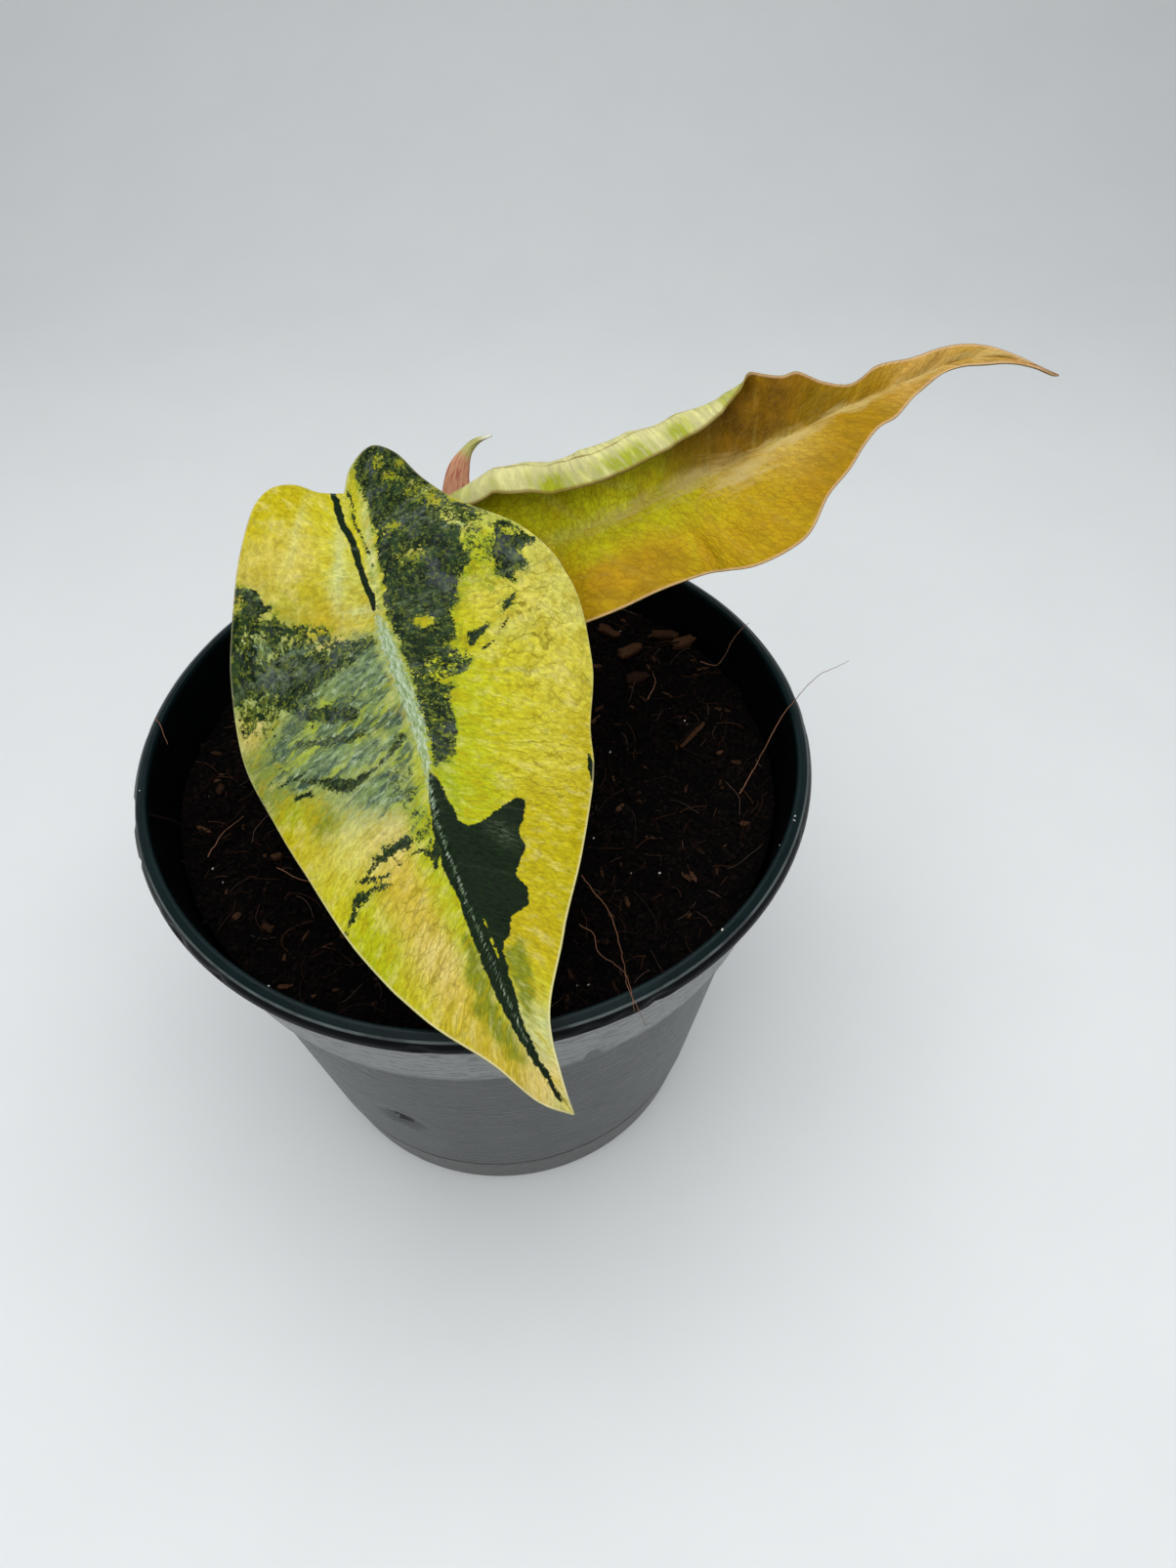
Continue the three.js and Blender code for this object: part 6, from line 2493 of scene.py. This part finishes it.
    def build(self, mix: "PottingMix", ground: Piece, pot: Piece) -> None:
        """Strews the mix and the lip.

        Args:
            mix: The mix, for its height.
            ground: The mix's own piece.
            pot: The pot's piece, for the dust on its lip.
        """
        crumb = BitFinish("coir_crumb", (0.0010, 0.0008, 0.0008), (0.0060, 0.0033, 0.0027)).material()
        bark = BitFinish("bark", (0.004, 0.0020, 0.0014), (0.048, 0.022, 0.011)).material()
        thread = BitFinish("dry_thread", (0.020, 0.012, 0.010), (0.10, 0.065, 0.048)).material()
        hair = BitFinish("root_hair", (0.18, 0.085, 0.05), (0.45, 0.29, 0.20), 0.6).material()
        dust = BitFinish("pale_dust", (0.30, 0.30, 0.27), (0.62, 0.60, 0.55)).material()
        pieces = [
            Strewing(
                "coir_crumbs", "open_top", 62.0, (0.5, 0.4, 0.3), (2.1, 1.5, 1.1), crumb, 11
            ).over(ground),
            Strewing(
                "bark_bits", "loose", 2.2, (1.0, 0.5, 0.3), (4.2, 1.2, 0.8), bark, 23, Lie.FLAT, 0.7
            ).over(ground),
            HairStrewing("coir_threads", "loose", 1.5, (2.5, 9.0), 0.06, thread, 31).over(ground),
            HairStrewing("dark_threads", "loose", 5.0, (2.0, 7.0), 0.08, bark, 37).over(ground),
            Strewing("pale_grit", "loose", 0.34, (0.35, 0.3, 0.2), (0.8, 0.7, 0.5), dust, 43).over(ground),
            Strewing(
                "lip_dust", "dusty", 9.0, (0.2, 0.15, 0.08), (0.75, 0.5, 0.2), dust, 53, Lie.FLAT
            ).over(pot),
            self._chips(mix),
            HairRoute("root_hairs", 0.11, hair).along(self.threads),
            HairRoute("straws", 0.45, bark, 0.25).along(self.straws),
        ]
        paint(pieces[6], bark)
        for piece in pieces:
            settle(piece, "pot_plastic" if piece.name == "lip_dust" else "coir_mix")


# The studio

@dataclass(frozen=True)
class Studio:
    """A pale floor that curves up behind the plant, and soft light from above."""

    half_width: float = 1500.0
    front: float = -900.0
    bend: float = 320.0
    bend_radius: float = 420.0
    top: float = 1500.0

    def floor(self) -> Piece:
        """Makes the floor and its curved-up back as one sheet."""
        turn = np.linspace(0.0, math.pi / 2, 24)
        line = [(self.front, 0.0)]
        line += [
            (self.bend + self.bend_radius * math.sin(a), self.bend_radius * (1.0 - math.cos(a))) for a in turn
        ]
        line.append((self.bend + self.bend_radius, self.top))
        y, z = np.array(line).T
        x = np.array([-self.half_width, self.half_width])
        points = np.stack([np.tile(x, len(y)), np.repeat(y, 2), np.repeat(z, 2)], axis=-1)
        base = 2 * np.arange(len(y) - 1)[:, None]
        made = add_mesh("studio_floor", points, [base + np.array([[0, 1, 3, 2]])])
        return made

    def finish(self) -> Material:
        """The floor's matt pale paper."""
        shade = Shade("studio_paper")
        fleck = shade.noise(shade.place(), 40.0, 3.0)
        tone = shade.mix(shade.ramp(fleck, 0.3, 0.7), (0.765, 0.79, 0.80), (0.78, 0.805, 0.815))
        return shade.finish(Base_Color=tone, Roughness=0.85, Specular_IOR_Level=0.2)

    def light(self) -> None:
        """Lights the scene: a bright sky all round and one wide soft lamp overhead."""
        world = bpy.data.worlds.new("studio_sky")
        world.use_nodes = True
        sky = world.node_tree.nodes["Background"]
        sky.inputs["Color"].default_value = (0.95, 0.98, 1.0, 1.0)
        sky.inputs["Strength"].default_value = 0.30
        bpy.context.scene.world = world
        self._lamp("overhead_softbox", (0.0, -30.0, 480.0), (0.64, 0.55), 2.45)
        self._lamp("front_softbox", (0.0, -700.0, 480.0), (1.0, 0.5), 1.3)

    @staticmethod
    def _lamp(name: str, place: Triple, size: Pair, watts: float) -> None:
        """Adds a soft lamp that looks at the pot.

        Args:
            name: The lamp's name.
            place: Where it hangs, in mm.
            size: Its width and height, in metres.
            watts: Its power.
        """
        lamp = bpy.data.lights.new(name, "AREA")
        lamp.shape = "RECTANGLE"
        lamp.size, lamp.size_y = size
        lamp.energy = watts
        holder = shown(name, lamp)
        holder.location = Vector(place) * MM
        aim = Vector((0.0, 0.0, 0.06)) - holder.location
        holder.rotation_euler = aim.to_track_quat("-Z", "Y").to_euler()


@dataclass(frozen=True)
class PhotoCamera:
    """The camera at the photograph's place: above the front, looking down at the plant."""

    place: Triple = (20.1187, -139.7719, 254.8145)
    tilt: float = math.radians(39.41)
    roll: float = math.radians(-0.93)
    sensor: float = 36.0
    lens: float = 27.03

    def set_up(self) -> None:
        """Makes the camera and hands it to the scene."""
        camera = bpy.data.cameras.new("photo_camera")
        camera.sensor_width = self.sensor
        camera.lens = self.lens
        camera.clip_start, camera.clip_end = 0.01, 20.0
        holder = shown("photo_camera", camera)
        turned = Matrix.Rotation(self.tilt, 4, "X") @ Matrix.Rotation(self.roll, 4, "Z")
        holder.matrix_world = Matrix.Translation(Vector(self.place) * MM) @ turned
        bpy.context.scene.camera = holder


@dataclass
class PottedAlocasia:
    """The whole plant in its pot."""

    front: FrontBlade = field(default_factory=lambda: FrontBlade(
        name="front_leaf",
        node="front_leaf_blade",
        slot="variegated_blade",
        midrib=FRONT_MIDRIB,
        stalk_index=2,
        right=Half(FRONT_RIGHT_MARGIN, 100),
        left=Half(FRONT_LEFT_MARGIN, 86),
        vein_spacing=10.5,
        vein_relief=0.45,
        ridge_height=1.0,
        ridge_half_width=1.7,
        midrib_relief=((0.34, 0.0, 1.1), (-0.2, 2.6, 1.4)),
        groove=(0.12, 0.8),
        pillow=(0.10, 3.2, 31),
        pattern=FrontPattern(),
        finishes=(
            VariegatedFinish(),
            UndersideFinish("variegated_blade_underside", (0.40, 0.44, 0.16), (0.20, 0.26, 0.07)),
        ),
    ))
    back: BackBlade = field(default_factory=lambda: BackBlade(
        name="back_leaf",
        node="back_leaf_blade",
        slot="bronze_blade",
        midrib=BACK_MIDRIB,
        stalk_index=1,
        right=Half(BACK_RIGHT_MARGIN, 70),
        left=Half(BACK_LEFT_MARGIN, 110),
        vein_spacing=8.0,
        vein_relief=0.35,
        ridge_height=0.9,
        ridge_half_width=1.5,
        midrib_relief=((-0.25, 0.0, 1.3),),
        groove=(0.14, 0.7),
        pillow=(0.12, 4.0, 47),
        pattern=BackPattern(),
        finishes=(BronzeFinish(), SheathUndersideFinish()),
    ))
    front_petiole: Petiole = Petiole(
        "front_leaf_stalk", ((-1.9, 6.4, 82.0), (-4.2, 4.6, 96.0), (-8.2, 2.2, 113.0)), 2.1, 1.6
    )
    back_petiole: Petiole = Petiole(
        "back_leaf_stalk", ((2.9, 6.8, 82.0), (6.4, 13.2, 94.5), (11.4, 23.4, 107.0)), 2.0, 1.5
    )

    def build(self) -> None:
        """Builds every piece, from the pot up to the blades."""
        pot = NurseryPot().build()
        paint(pot, PotFinish().material(), LipFinish().material())
        settle(pot, "pot_plastic", "pot")
        mix = PottingMix()
        ground = mix.build()
        paint(ground, MixFinish().material())
        settle(ground, "coir_mix", "potting_soil")
        SurfaceLitter().build(mix, ground, pot)
        corm = Corm().build()
        paint(corm, CormFinish().material())
        settle(corm, "corm_skin", "corm")
        skin = StalkFinish().material()
        for petiole, blade, node in (
            (self.front_petiole, self.front, "front_leaf_petiole"),
            (self.back_petiole, self.back, "back_leaf_petiole"),
        ):
            stalk = petiole.build(blade)
            paint(stalk, skin)
            settle(stalk, "leaf_stalk", node)
        sheath = Cataphyll().build()
        paint(sheath, SheathFinish().material())
        settle(sheath, "papery_sheath", "cataphyll")
        for blade in (self.front, self.back):
            blade.dressed()


def main() -> None:
    """Builds the plant, the studio and the camera."""
    logging.basicConfig(level=logging.INFO, format="%(message)s")
    bpy.context.scene.view_settings.view_transform = "Standard"
    PhotoCamera().set_up()
    PottedAlocasia().build()
    studio = Studio()
    paint(studio.floor(), studio.finish())
    studio.light()


if __name__ == "__main__":
    main()
